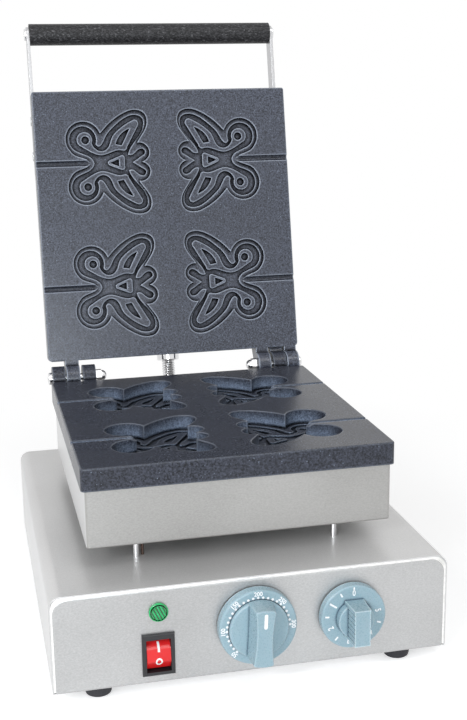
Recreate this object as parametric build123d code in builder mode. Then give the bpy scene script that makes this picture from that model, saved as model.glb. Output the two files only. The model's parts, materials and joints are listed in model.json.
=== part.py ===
from build123d import *
import os
from math import cos, radians, sin, tan

# A countertop waffle maker: a flat sheet steel housing with the controls, and on four posts above it
# two hinged cast plates with butterfly moulds. Millimetres, +Z up, front towards -Y. The origin is on
# the table, at the middle of the object's box with the lid open. The lid is drawn open, on its stop.

# Fits and small clearances
fit_gap = 0.1
slide_gap = 0.3
seat_gap = 0.2
overrun = 5.0

# Housing
housing_width = 272.0
housing_tail = 48.0
housing_height = 68.5
sheet = 1.0
cover_bend = 8.0
cover_low_bend = 2.0
cover_lip = 12.0
panel_setback = 0.4
panel_corner = 11.0
panel_low_corner = 2.0
panel_bend = 2.0
panel_lap = 14.0
floor_lip = 6.0
vent_count = 9
vent_pitch = 9.0
vent_width = 3.5
vent_height = 26.0
vent_level = 44.0

# Feet
foot_height = 8.0
foot_top_radius = 10.25
foot_bottom_radius = 8.5
foot_edge_round = 1.2
foot_inset_x = 31.0
foot_inset_y = 13.4

# Heads: two hinged plates and what each of them carries
plate_width = 218.0
plate_depth = 226.0
plate_thickness = 16.0
plate_corner = 3.5
plate_front_corner = 1.8
plate_edge_round = 1.0
plate_setback = 32.0
hinge_reach = 14.0
post_height = 16.0
casing_height = 41.2
casing_bend = 1.4
casing_corner = 2.5
lower_casing_inset = 2.3
upper_casing_inset = 3.5
open_angle = 101.5

# Butterfly moulds
lower_mould_depth = 11.0
lower_channel_depth = 1.6
upper_mould_depth = 2.4
upper_channel_depth = 2.2
eye_radius = 3.3
body_round = 2.2
groove_radius = 2.4

# Hinge
knuckle_radius = 10.0
outer_lug_inset = 12.7
outer_lug_width = 10.7
middle_lug_inset = 25.0
middle_lug_width = 11.3
inner_lug_inset = 38.1
inner_lug_width = 10.8
hinge_pin_radius = 3.0
hinge_head_radius = 5.2
hinge_head_height = 3.4
acorn_flat = 10.0
acorn_hex_height = 5.2
acorn_dome_radius = 4.6
stop_near = 3.0
stop_far = 13.0

# Heating element, shield and insulation
element_radius = 4.0
element_inset = 39.0
element_rear = 38.0
element_front_inset = 35.0
element_lead_spread = 14.0
element_lead_start = 16.0
element_bend = 13.3
element_pin_radius = 1.5
element_pin_length = 8.0
shield_thickness = 1.2
wiring_bay_width = 48.0
wiring_bay_depth = 30.0

# Bolts that hold the plates on their casings
boss_radius = 6.0
boss_height = 6.0
bolt_radius = 2.5
bolt_head_radius = 4.6
bolt_head_height = 3.0
bolt_inset = 12.0

# Posts under the lower casing
post_radius = 2.2
post_stud_radius = 1.7
post_inset_x = 38.0
post_front_inset = 21.0
post_rear_inset = 22.0
post_nut_flat = 5.5
post_nut_height = 2.4
post_stud_spare = 0.8

# Temperature sensor of the thermostat
bulb_radius = 3.0
bulb_length = 76.0
bulb_front_inset = 24.0
capillary_radius = 1.0
capillary_inset = 42.6
clamp_half_width = 6.6
clamp_length = 9.0
clamp_thickness = 0.8
clamp_screw_radius = 1.2
clamp_screw_spread = 4.6

# Sleeve that leads the wires up into the lower casing
sleeve_radius = 6.0
sleeve_wall = 1.2
sleeve_flange = 2.0
sleeve_inset = 18.0

# Controls on the front panel
dial_level = 43.1
timer_level = 42.3
knob_projection = 26.0
dial_gap = 1.2
dial_radius = 26.6
dial_thickness = 7.0
dial_rim_round = 1.6
dial_foot_radius = 23.8
hub_radius = 20.3
hub_rise = 3.2
hub_round = 1.5
bar_projection = 25.8
bar_length = 41.0
bar_waist = 10.6
bar_end_width = 13.6
bar_flare = 2.6
bar_angle = -3.0
skirt_radius = 22.75
skirt_thickness = 6.0
skirt_round = 1.2
timer_hub_radius = 12.4
timer_hub_thickness = 12.5
grip_length = 25.4
grip_width = 10.8
grip_base_width = 13.4
grip_rib_count = 7
grip_rib_depth = 0.35
knob_wall = 1.8
knob_pocket_depth = 4.0
shaft_radius = 3.0
shaft_flat = 1.0
shaft_grip = 9.0
control_screw_spread = 12.0
control_screw_radius = 2.0
control_screw_head = 3.4
control_screw_head_height = 2.0
thermostat_width = 36.0
thermostat_height = 44.0
thermostat_depth = 24.0
thermostat_nose_radius = 6.0
thermostat_nose_length = 5.0
timer_body_radius = 23.5
timer_body_depth = 26.0

# Rocker switch
switch_level = 29.0
bezel_width = 21.8
bezel_height = 29.6
bezel_thickness = 2.0
bezel_round = 0.8
switch_body_width = 18.8
switch_body_height = 27.2
switch_body_depth = 20.0
rocker_width = 15.9
rocker_height = 21.2
rocker_drop = 0.7
rocker_gap = 0.9
rocker_side_gap = 0.25
rocker_rise = 5.0
rocker_dip = 0.4
rocker_pivot_depth = 2.5
rocker_tilt = 8.0
rocker_pin_radius = 1.2
rocker_pin_length = 0.9
tab_width = 4.8
tab_thickness = 0.8
tab_length = 8.0
tab_pitch = 9.0

# Pilot lamp
lamp_level = 59.0
lamp_radius = 6.5
lamp_projection = 2.0
lamp_round = 0.7
lamp_neck_radius = 5.0
lamp_neck_length = 20.0
lens_radius = 4.9
lens_depth = 6.0
lens_crown = 0.6
lens_rib_count = 5
lens_turn = 25.0
lamp_ring_gap = 0.8

# Terminal block and power inlet at the rear
block_length = 62.0
block_width = 17.0
block_height = 15.0
block_ways = 6
block_x = 20.0
block_y = 250.0
inlet_inset = 48.0
inlet_level = 34.0
inlet_radius = 9.0
inlet_bore = 4.0
inlet_length = 12.0
inlet_neck_radius = 6.8

# Flexible conduit between the lid and the housing
gland_radius = 9.0
lid_gland_radius = 9.9
gland_height = 10.2
gland_round = 1.0
gland_neck_radius = 7.4
gland_neck_length = 7.0
gland_nut_flat = 19.0
gland_nut_height = 3.5
conduit_radius = 5.7
conduit_wall = 1.2
conduit_level = 45.0
conduit_entry_gap = 19.0
conduit_run = 20.5

# Handle
handle_stand = 53.7
handle_level = 29.0
grip_radius = 9.0
arm_thickness = 2.5
arm_width = 12.8
arm_lap = 62.0
rod_radius = 4.0
handle_screw_radius = 2.5
handle_screw_head = 5.0
handle_screw_head_height = 1.8
handle_screw_length = 16.0
arm_screw_radius = 2.0
arm_screw_head = 4.0
arm_screw_head_height = 0.9
arm_screw_pitch = 30.0
arm_screw_drop = 2.0
arm_nut_flat = 7.0
arm_nut_height = 3.2

# Small screws through sheet metal
small_screw_radius = 2.0
small_head_radius = 3.8
small_head_height = 2.2
small_nut_flat = 7.0
small_nut_height = 3.2
small_screw_spare = 0.8

# Mould outlines as shares of a butterfly's length (first number) and span (second number), from its
# middle, tails towards the plate's side edge. Each list is one half, from the body's axis outwards.
rim_tail_shares = [(0.188, 0.0), (0.234, 0.033), (0.350, 0.070), (0.421, 0.120)]
rim_lobe_shares = [(0.421, 0.120), (0.403, 0.351), (0.066, 0.280)]
rim_wing_shares = [(0.066, 0.280), (-0.066, 0.390), (-0.203, 0.464), (-0.347, 0.500), (-0.459, 0.466),
                   (-0.488, 0.375), (-0.433, 0.273), (-0.358, 0.182)]
rim_feeler_shares = [(-0.358, 0.182), (-0.422, 0.180), (-0.485, 0.134), (-0.496, 0.074),
                     (-0.463, 0.027), (-0.404, 0.0)]
floor_tail_shares = [(0.148, 0.0), (0.174, 0.045), (0.297, 0.100), (0.390, 0.148)]
floor_lobe_shares = [(0.390, 0.148), (0.267, 0.357), (0.121, 0.183)]
floor_wing_shares = [(0.121, 0.183), (0.082, 0.161), (0.044, 0.188), (-0.007, 0.264), (-0.093, 0.341),
                     (-0.236, 0.430), (-0.360, 0.455), (-0.438, 0.424), (-0.449, 0.352),
                     (-0.388, 0.250), (-0.251, 0.074)]
floor_feeler_shares = [(-0.251, 0.074), (-0.318, 0.082), (-0.381, 0.125), (-0.438, 0.123),
                       (-0.452, 0.089), (-0.408, 0.057), (-0.340, 0.020), (-0.299, 0.0)]
island_lobe_shares = [(0.310, 0.175), (0.247, 0.301), (0.166, 0.197)]
island_outer_shares = [(0.166, 0.197), (0.136, 0.147), (0.073, 0.115), (0.002, 0.128), (-0.039, 0.170),
                       (-0.073, 0.242), (-0.146, 0.310), (-0.256, 0.374), (-0.338, 0.408)]
island_tip_shares = [(-0.338, 0.408), (-0.383, 0.393), (-0.382, 0.347)]
island_corner_shares = [(-0.243, 0.148), (-0.230, 0.123), (-0.201, 0.113)]
island_inner_shares = [(-0.201, 0.113), (-0.110, 0.117), (-0.019, 0.091), (0.064, 0.077),
                       (0.128, 0.089), (0.210, 0.123), (0.310, 0.175)]
dish_shares = [(-0.110, 0.177), (-0.154, 0.250), (-0.288, 0.327)]
dish_foot_share = (-0.184, 0.166)
eye_share = (0.238, 0.224)
body_shares = [(0.040, 0.0), (-0.208, 0.083), (-0.208, -0.083)]
body_dish_shares = [(-0.030, 0.0), (-0.140, 0.037), (-0.140, -0.037)]

# Shares of the width and the depth of a plate, and of the housing's width
butterfly_length_share = 0.33486
butterfly_span_share = 0.38938
butterfly_offset_share = 0.22385
row_near_share = 0.26858
row_pitch_share = 0.46372
groove_start_share = 0.27523
timer_share = 0.24375
switch_share = -0.24265
lamp_share = -0.24
rocker_waist_share = 0.93
rocker_foot_share = 0.4

# Places worked out from the sizes above
housing_depth = plate_setback + plate_depth + housing_tail
foot_spread_x = housing_width / 2 - foot_inset_x
timer_x = housing_width * timer_share
switch_x = housing_width * switch_share
lamp_x = housing_width * lamp_share
inlet_x = housing_width / 2 - inlet_inset
butterfly_length = plate_width * butterfly_length_share
butterfly_span = plate_depth * butterfly_span_share
butterfly_offset = plate_width * butterfly_offset_share
row_near = plate_depth * row_near_share
row_pitch = plate_depth * row_pitch_share
groove_start = plate_width * groove_start_share
outer_lug_start = plate_width / 2 - outer_lug_inset
middle_lug_start = plate_width / 2 - middle_lug_inset
inner_lug_start = plate_width / 2 - inner_lug_inset
element_half_width = plate_width / 2 - element_inset
bolt_side = plate_width / 2 - bolt_inset
post_spread_x = plate_width / 2 - post_inset_x
post_front_y = plate_setback + post_front_inset
post_rear_y = plate_setback + plate_depth - post_rear_inset
capillary_x = plate_width / 2 - capillary_inset
sleeve_y = plate_setback + plate_depth - sleeve_inset
handle_reach = hinge_reach + plate_depth + handle_stand
hinge_z = foot_height + housing_height + post_height + casing_height + plate_thickness
hinge_setback = plate_setback + plate_depth + hinge_reach
conduit_entry_y = hinge_setback + conduit_entry_gap
shell_depth = plate_thickness + casing_height
lean = radians(open_angle - 90)
rear_corner_s = hinge_reach + plate_depth - upper_casing_inset - casing_bend
rear_reach = (hinge_setback + rear_corner_s * sin(lean) + (shell_depth - casing_bend) * cos(lean)
              + casing_bend)
front_y = (knob_projection - rear_reach) / 2
rear_y = front_y + housing_depth
hinge_y = front_y + hinge_setback
top_z = foot_height + housing_height
floor_z = foot_height + sheet

front_plane = Plane(origin=(0, front_y, 0), x_dir=(1, 0, 0), z_dir=(0, -1, 0))
rear_plane = Plane(origin=(0, rear_y, 0), x_dir=(-1, 0, 0), z_dir=(0, 1, 0))
lower_frame = Plane(origin=(0, hinge_y, hinge_z), x_dir=(-1, 0, 0), z_dir=(0, 0, 1))
upper_frame = Plane(origin=(0, hinge_y, hinge_z), x_dir=(1, 0, 0), z_dir=(0, -cos(lean), sin(lean)))

rows = [hinge_reach + row_near, hinge_reach + row_near + row_pitch]
bolt_places = [(0, rows[0]), (0, rows[1]), (bolt_side, sum(rows) / 2), (-bolt_side, sum(rows) / 2)]
element_level = plate_thickness + seat_gap + element_radius
shield_level = element_level + element_radius + seat_gap
filling_level = shield_level + shield_thickness

os.makedirs("parts", exist_ok=True)


def side_plane(frame, offset):
    """A plane across a head: x runs away from the hinge, y up from the plate's face."""
    return Plane(origin=frame.from_local_coords((offset, 0, 0)), x_dir=frame.y_dir, z_dir=frame.x_dir)


def along(shares):
    """Mould outline points from shares of the butterfly's size."""
    return [(x * butterfly_length, y * butterfly_span) for x, y in shares]


def screw(seat, head, rise, shank, length):
    """A pan head screw: head on the seat plane, shank behind it, with a cross slot."""
    with BuildPart() as piece:
        with BuildSketch(seat):
            Circle(head)
        extrude(amount=rise)
        fillet(piece.faces().sort_by(Axis(seat.origin, seat.z_dir))[-1].edges(), rise / 3)
        with BuildSketch(seat):
            Circle(shank)
        extrude(amount=-length)
        with BuildSketch(seat.offset(rise)):
            Rectangle(head, head / 5)
            Rectangle(head / 5, head)
        extrude(amount=-rise / 2, mode=Mode.SUBTRACT)
    return piece.part


def nut(seat, flat, height, bore):
    """A hexagon nut that stands on the seat plane."""
    with BuildPart() as piece:
        with BuildSketch(seat):
            RegularPolygon(flat / 2, 6, major_radius=False)
            Circle(bore, mode=Mode.SUBTRACT)
        extrude(amount=height)
    return piece.part


def shifted(plane, x, y, z=0):
    """A plane moved along its own directions."""
    return Plane(origin=plane.from_local_coords((x, y, z)), x_dir=plane.x_dir, z_dir=plane.z_dir)


def turned(plane):
    """The same plane, facing the other way."""
    return Plane(origin=plane.origin, x_dir=plane.x_dir, z_dir=-plane.z_dir)


# Housing cover: one wrapped sheet, top, sides and two narrow lips below
cover_plane = front_plane.offset(-panel_setback)
cover_length = housing_depth - 2 * panel_setback
hem = sheet + panel_bend + slide_gap
gland_place = (0, front_y + conduit_entry_y)
post_places = [(x, front_y + y) for x in (-post_spread_x, post_spread_x)
               for y in (post_front_y, post_rear_y)]
capillary_place = (-capillary_x, hinge_y - hinge_reach - plate_depth + bulb_front_inset)
sleeve_place = (0, front_y + sleeve_y)
floor_screw_x = housing_width / 2 - cover_lip / 2
floor_screw_ys = [front_y + housing_depth * share for share in (0.1, 0.5, 0.9)]
floor_screws_at = [(x, y) for x in (-floor_screw_x, floor_screw_x) for y in floor_screw_ys]

with BuildPart() as housing_cover:
    with BuildSketch(cover_plane) as section:
        with Locations((0, foot_height + housing_height / 2)):
            Rectangle(housing_width, housing_height)
        fillet(section.vertices().group_by(Axis.Y)[-1], cover_bend)
        fillet(section.vertices().group_by(Axis.Y)[0], cover_low_bend)
        offset(amount=-sheet, mode=Mode.SUBTRACT)
        with Locations((0, foot_height + sheet / 2)):
            Rectangle(housing_width - 2 * cover_lip, sheet + overrun, mode=Mode.SUBTRACT)
    extrude(amount=-cover_length)
    with BuildSketch(Plane.XY.offset(foot_height - overrun)):
        with Locations((0, front_y), (0, rear_y)):
            Rectangle(housing_width - 2 * sheet, 2 * hem)
    extrude(amount=sheet + overrun, mode=Mode.SUBTRACT)
    with BuildSketch(Plane.XY.offset(top_z - sheet - overrun)):
        with Locations(*post_places):
            Circle(post_stud_radius + fit_gap)
        with Locations(gland_place):
            Circle(gland_neck_radius + fit_gap)
        with Locations(capillary_place):
            Circle(capillary_radius + slide_gap)
        with Locations(sleeve_place):
            Circle(sleeve_radius + fit_gap)
    extrude(amount=sheet + 2 * overrun, mode=Mode.SUBTRACT)
    with BuildSketch(Plane.XY.offset(foot_height - overrun)):
        with Locations(*floor_screws_at):
            Circle(small_screw_radius + fit_gap)
    extrude(amount=sheet + 2 * overrun, mode=Mode.SUBTRACT)
housing_cover.part.label = "housing_cover"
export_step(housing_cover.part, "parts/housing_cover.step")


# Front and rear panels: trays with a folded lap on the top and the sides
panel_width = housing_width - 2 * (sheet + seat_gap)
panel_top = top_z - sheet - seat_gap
panel_height = panel_top - foot_height


def panel_outline(inset):
    """The panel's outline, drawn in by a wall."""
    with BuildSketch() as outline:
        with Locations((0, foot_height + panel_height / 2)):
            Rectangle(panel_width, panel_height)
        fillet(outline.vertices().group_by(Axis.Y)[-1], panel_corner)
        fillet(outline.vertices().group_by(Axis.Y)[0], panel_low_corner)
        if inset:
            offset(amount=-inset)
    return outline.sketch


def panel_tray(plane):
    """A panel's bent sheet, with its face on the given plane."""
    with BuildPart() as tray:
        with BuildSketch(plane):
            add(panel_outline(0))
        extrude(amount=-panel_lap)
        fillet(tray.faces().sort_by(Axis(plane.origin, plane.z_dir))[-1].edges(), panel_bend)
        with BuildSketch(plane.offset(-sheet)):
            add(panel_outline(sheet))
        extrude(amount=-panel_lap, mode=Mode.SUBTRACT)
        with BuildSketch(plane.offset(-sheet - panel_bend)):
            with Locations((0, foot_height)):
                Rectangle(panel_width + overrun, 2 * (panel_low_corner + sheet))
        extrude(amount=-panel_lap, mode=Mode.SUBTRACT)
    return tray.part


control_screw_places = [(x, level + side) for x, level in ((0, dial_level), (timer_x, timer_level))
                        for side in (-control_screw_spread, control_screw_spread)]

with BuildPart() as front_panel:
    add(panel_tray(front_plane))
    with BuildSketch(front_plane.offset(-sheet - overrun)):
        with Locations((0, dial_level), (timer_x, timer_level)):
            Circle(shaft_radius + 2 * slide_gap)
        with Locations(*control_screw_places):
            Circle(control_screw_radius + fit_gap)
        with Locations((switch_x, switch_level)):
            Rectangle(switch_body_width + 2 * fit_gap, switch_body_height + 2 * fit_gap)
        with Locations((lamp_x, lamp_level)):
            Circle(lamp_neck_radius + fit_gap)
    extrude(amount=sheet + 2 * overrun, mode=Mode.SUBTRACT)
front_panel.part.label = "front_panel"
export_step(front_panel.part, "parts/front_panel.step")

with BuildPart() as rear_panel:
    add(panel_tray(rear_plane))
    with BuildSketch(rear_plane.offset(-sheet - overrun)):
        with Locations((0, vent_level)):
            with GridLocations(vent_pitch, 0, vent_count, 1):
                SlotOverall(vent_height, vent_width, rotation=90)
        with Locations((-inlet_x, inlet_level)):
            Circle(inlet_neck_radius + fit_gap)
    extrude(amount=sheet + 2 * overrun, mode=Mode.SUBTRACT)
    with BuildSketch(rear_plane.offset(-sheet - panel_bend)):
        with Locations((0, panel_top)):
            Rectangle(2 * gland_radius + gland_nut_height, 2 * (sheet + overrun))
    extrude(amount=-panel_lap, mode=Mode.SUBTRACT)
rear_panel.part.label = "rear_panel"
export_step(rear_panel.part, "parts/rear_panel.step")

# Floor of the housing: a sheet with upturned lips behind the two panels
floor_width = housing_width - 2 * (cover_low_bend + slide_gap)
floor_depth = housing_depth - 2 * hem
foot_places = [(x, y) for x in (-foot_spread_x, foot_spread_x)
               for y in (front_y + foot_inset_y, rear_y - foot_inset_y)]
foot_thickness = foot_height + sheet

with BuildPart() as housing_floor:
    with BuildSketch(Plane.XY.offset(floor_z)):
        with Locations((0, front_y + housing_depth / 2)):
            Rectangle(floor_width, floor_depth)
    extrude(amount=sheet)
    with BuildSketch(Plane.XY.offset(floor_z)):
        for edge_y in (front_y + hem + sheet / 2, rear_y - hem - sheet / 2):
            with Locations((0, edge_y)):
                Rectangle(floor_width - 2 * panel_corner, sheet)
    extrude(amount=floor_lip)
    with BuildSketch(Plane.XY.offset(floor_z - overrun)):
        with Locations(*floor_screws_at, *foot_places):
            Circle(small_screw_radius + fit_gap)
    extrude(amount=sheet + 2 * overrun, mode=Mode.SUBTRACT)
housing_floor.part.label = "housing_floor"
export_step(housing_floor.part, "parts/housing_floor.step")

# Screws of the housing floor, driven up through the cover's lips
with BuildPart() as floor_screws:
    for x, y in floor_screws_at:
        seat = Plane(origin=(x, y, foot_height), x_dir=(1, 0, 0), z_dir=(0, 0, -1))
        length = 2 * sheet + small_nut_height + small_screw_spare
        add(screw(seat, small_head_radius, small_head_height, small_screw_radius, length))
        add(nut(Plane(origin=(x, y, floor_z + sheet)), small_nut_flat, small_nut_height,
                small_screw_radius + fit_gap / 2))
floor_screws.part.label = "floor_screws"
export_step(floor_screws.part, "parts/floor_screws.step")

# Rubber feet
foot_pocket = foot_height / 2
for number, (x, y) in enumerate(foot_places, 1):
    with BuildPart() as foot:
        with BuildSketch(Plane(origin=(x, y, 0), x_dir=(1, 0, 0), z_dir=(0, -1, 0))) as profile:
            with BuildLine():
                Polyline((small_screw_radius + fit_gap, foot_pocket),
                         (small_head_radius + slide_gap, foot_pocket),
                         (small_head_radius + slide_gap, 0), (foot_bottom_radius, 0),
                         (foot_top_radius, foot_thickness), (small_screw_radius + fit_gap, foot_thickness),
                         close=True)
            make_face()
            fillet(profile.vertices().filter_by(lambda v: abs(v.X - foot_bottom_radius) < fit_gap),
                   foot_edge_round)
        revolve(axis=Axis((x, y, 0), (0, 0, 1)))
    foot.part.label = f"foot_{number}"
    export_step(foot.part, f"parts/foot_{number}.step")

with BuildPart() as foot_screws:
    for x, y in foot_places:
        seat = Plane(origin=(x, y, foot_pocket), x_dir=(1, 0, 0), z_dir=(0, 0, -1))
        length = foot_thickness + sheet - foot_pocket + small_nut_height + small_screw_spare
        add(screw(seat, small_head_radius, small_head_height, small_screw_radius, length))
        add(nut(Plane(origin=(x, y, floor_z + sheet)), small_nut_flat, small_nut_height,
                small_screw_radius + fit_gap / 2))
foot_screws.part.label = "foot_screws"
export_step(foot_screws.part, "parts/foot_screws.step")

# Posts that carry the lower head, threaded into nuts at both ends
casing_floor_z = top_z + post_height
stud_reach = sheet + post_nut_height + post_stud_spare

with BuildPart() as posts:
    with BuildSketch(Plane.XY.offset(top_z)):
        with Locations(*post_places):
            Circle(post_radius)
    extrude(amount=post_height)
    with BuildSketch(Plane.XY.offset(top_z - stud_reach)):
        with Locations(*post_places):
            Circle(post_stud_radius)
    extrude(amount=post_height + 2 * stud_reach)
posts.part.label = "posts"
export_step(posts.part, "parts/posts.step")

with BuildPart() as post_nuts:
    for x, y in post_places:
        for level in (top_z - sheet - post_nut_height, casing_floor_z + sheet):
            add(nut(Plane(origin=(x, y, level)), post_nut_flat, post_nut_height,
                    post_stud_radius + fit_gap / 2))
post_nuts.part.label = "post_nuts"
export_step(post_nuts.part, "parts/post_nuts.step")


# Cast plates with their moulds, hinge lugs and bosses. The lower moulds are deep, the upper ones shallow.
with BuildSketch() as rim_sketch:
    with BuildLine():
        Spline(*along(rim_tail_shares))
        ThreePointArc(*along(rim_lobe_shares))
        Spline(*along(rim_wing_shares))
        Spline(*along(rim_feeler_shares))
        Line(along(rim_feeler_shares)[-1], along(rim_tail_shares)[0])
    make_face()
    mirror(about=Plane.XZ)


def body_island(shares, corner):
    """The butterfly's body or the dish in it: a triangle with rounded corners."""
    with BuildSketch() as outline:
        with BuildLine():
            Polyline(*along(shares), close=True)
        make_face()
        fillet(outline.vertices(), corner)
    return outline.sketch


with BuildSketch() as channel_sketch:
    with BuildLine():
        Spline(*along(floor_tail_shares))
        ThreePointArc(*along(floor_lobe_shares))
        Spline(*along(floor_wing_shares))
        Spline(*along(floor_feeler_shares))
        Line(along(floor_feeler_shares)[-1], along(floor_tail_shares)[0])
    make_face()
    with BuildLine():
        ThreePointArc(*along(island_lobe_shares))
        Spline(*along(island_outer_shares))
        ThreePointArc(*along(island_tip_shares))
        Line(along(island_tip_shares)[-1], along(island_corner_shares)[0])
        ThreePointArc(*along(island_corner_shares))
        Spline(*along(island_inner_shares))
    make_face(mode=Mode.SUBTRACT)
    with BuildLine():
        ThreePointArc(*along(dish_shares))
        Line(along(dish_shares)[-1], along([dish_foot_share])[0])
        Line(along([dish_foot_share])[0], along(dish_shares)[0])
    make_face()
    with Locations(*along([eye_share])):
        Circle(eye_radius)
    mirror(about=Plane.XZ)
    add(body_island(body_shares, body_round), mode=Mode.SUBTRACT)
    add(body_island(body_dish_shares, body_round / 4))


def lug_profile(frame, offset, width, stop):
    """One hinge lug with its arm to the plate, and on the middle lug the stop that holds the lid."""
    with BuildPart() as lug:
        with BuildSketch(side_plane(frame, offset)):
            Circle(knuckle_radius)
            with BuildLine():
                Polyline((0, 0), (hinge_reach + plate_corner, 0),
                         (hinge_reach + plate_corner, -plate_thickness),
                         (hinge_reach, -plate_thickness), (0, -knuckle_radius), close=True)
            make_face()
            if stop:
                reach = hinge_reach - slide_gap
                tips = [(-reach * sin(lean) - n * cos(lean), reach * cos(lean) - n * sin(lean))
                        for n in (stop_near, stop_far)]
                with BuildLine():
                    Polyline((0, knuckle_radius / 2), tips[0], tips[1],
                             (-knuckle_radius, -knuckle_radius / 4), (0, -knuckle_radius / 4), close=True)
                make_face()
            Circle(hinge_pin_radius + fit_gap, mode=Mode.SUBTRACT)
        extrude(amount=width)
    return lug.part


def cast_plate(frame, mould_depth, channel_depth):
    """A cast plate on its frame: moulds, stick grooves, hinge lugs and bolt bosses."""
    up = Axis(frame.origin, frame.z_dir)
    with BuildPart() as plate:
        with BuildSketch(frame) as outline:
            with Locations((0, hinge_reach + plate_depth / 2)):
                Rectangle(plate_width, plate_depth)
            fillet(outline.vertices().group_by(Axis(frame.origin, frame.y_dir))[0], plate_corner)
            fillet(outline.vertices().group_by(Axis(frame.origin, frame.y_dir))[-1], plate_front_corner)
        extrude(amount=-plate_thickness)
        fillet(plate.faces().sort_by(up)[-1].edges(), plate_edge_round)
        add(lug_profile(frame, outer_lug_start, outer_lug_width, False))
        add(lug_profile(frame, inner_lug_start, inner_lug_width, False))
        add(lug_profile(frame, -middle_lug_start - middle_lug_width, middle_lug_width, True))
        with BuildSketch(frame.offset(-plate_thickness)):
            with Locations(*bolt_places):
                Circle(boss_radius)
        extrude(amount=-boss_height)
        with BuildSketch(frame.offset(-plate_thickness - boss_height)):
            with Locations(*bolt_places):
                Circle(bolt_radius + fit_gap / 2)
        extrude(amount=boss_height, mode=Mode.SUBTRACT)
        with BuildSketch(frame):
            for row in rows:
                with Locations((butterfly_offset, row)):
                    add(rim_sketch.sketch)
            mirror(about=Plane.YZ)
        extrude(amount=-mould_depth, mode=Mode.SUBTRACT)
        with BuildSketch(frame.offset(-mould_depth)):
            for row in rows:
                with Locations((butterfly_offset, row)):
                    add(channel_sketch.sketch)
            mirror(about=Plane.YZ)
        extrude(amount=-channel_depth, mode=Mode.SUBTRACT)
        for side in (groove_start, -plate_width / 2 - overrun):
            with BuildSketch(side_plane(frame, side)):
                with Locations(*[(row, 0) for row in rows]):
                    Circle(groove_radius)
            extrude(amount=plate_width / 2 + overrun - groove_start, mode=Mode.SUBTRACT)
    return plate.part


with BuildPart() as lower_plate:
    add(cast_plate(lower_frame, lower_mould_depth, lower_channel_depth))
    for side in (-clamp_screw_spread, clamp_screw_spread):
        with BuildSketch(lower_frame.offset(-plate_thickness)):
            with Locations((0, hinge_reach + plate_depth - bulb_front_inset + side)):
                Circle(clamp_screw_radius + fit_gap / 2)
        extrude(amount=bulb_radius, mode=Mode.SUBTRACT)
lower_plate.part.label = "lower_plate"
export_step(lower_plate.part, "parts/lower_plate.step")

with BuildPart() as upper_plate:
    add(cast_plate(upper_frame, upper_mould_depth, upper_channel_depth))
upper_plate.part.label = "upper_plate"
export_step(upper_plate.part, "parts/upper_plate.step")


# Casings: sheet steel boxes behind the plates
def casing_shell(frame, inset):
    """An open box that the plate closes, with holes for the plate's bolts."""
    width = plate_width - 2 * inset
    depth = plate_depth - 2 * inset
    middle = hinge_reach + plate_depth / 2
    down = Axis(frame.origin, -frame.z_dir)
    with BuildPart() as shell:
        with BuildSketch(frame.offset(-plate_thickness)) as outline:
            with Locations((0, middle)):
                Rectangle(width, depth)
            fillet(outline.vertices(), casing_corner)
        extrude(amount=-casing_height)
        fillet(shell.faces().sort_by(down)[-1].edges(), casing_bend)
        with BuildSketch(frame.offset(-plate_thickness)) as inside:
            with Locations((0, middle)):
                Rectangle(width - 2 * sheet, depth - 2 * sheet)
            fillet(inside.vertices(), casing_corner - sheet)
        extrude(amount=sheet - casing_height, mode=Mode.SUBTRACT)
        with BuildSketch(frame.offset(-shell_depth)):
            with Locations(*bolt_places):
                Circle(bolt_radius + fit_gap)
        extrude(amount=sheet, mode=Mode.SUBTRACT)
    return shell.part


gland_s = hinge_reach + upper_casing_inset
gland_wall = Plane(origin=upper_frame.from_local_coords((0, gland_s, -conduit_level)),
                   x_dir=(1, 0, 0), z_dir=-upper_frame.y_dir)
arm_screw_places = [hinge_reach + plate_depth - upper_casing_inset - arm_lap / 2 + step
                    for step in (-arm_screw_pitch / 2, arm_screw_pitch / 2)]
casing_side = plate_width / 2 - upper_casing_inset
arm_screw_level = handle_level + arm_screw_drop

with BuildPart() as lower_casing:
    add(casing_shell(lower_frame, lower_casing_inset))
    with BuildSketch(Plane.XY.offset(casing_floor_z)):
        with Locations(*post_places):
            Circle(post_stud_radius + fit_gap)
        with Locations(capillary_place):
            Circle(capillary_radius + slide_gap)
        with Locations(sleeve_place):
            Circle(sleeve_radius + fit_gap)
    extrude(amount=sheet, mode=Mode.SUBTRACT)
lower_casing.part.label = "lower_casing"
export_step(lower_casing.part, "parts/lower_casing.step")

with BuildPart() as upper_casing:
    add(casing_shell(upper_frame, upper_casing_inset))
    with BuildSketch(gland_wall.offset(-sheet - casing_corner)):
        Circle(gland_neck_radius + fit_gap)
    extrude(amount=sheet + 2 * casing_corner, mode=Mode.SUBTRACT)
    with BuildSketch(side_plane(upper_frame, -plate_width / 2)):
        with Locations(*[(s, -arm_screw_level) for s in arm_screw_places]):
            Circle(arm_screw_radius + fit_gap)
    extrude(amount=plate_width, mode=Mode.SUBTRACT)
upper_casing.part.label = "upper_casing"
export_step(upper_casing.part, "parts/upper_casing.step")


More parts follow.
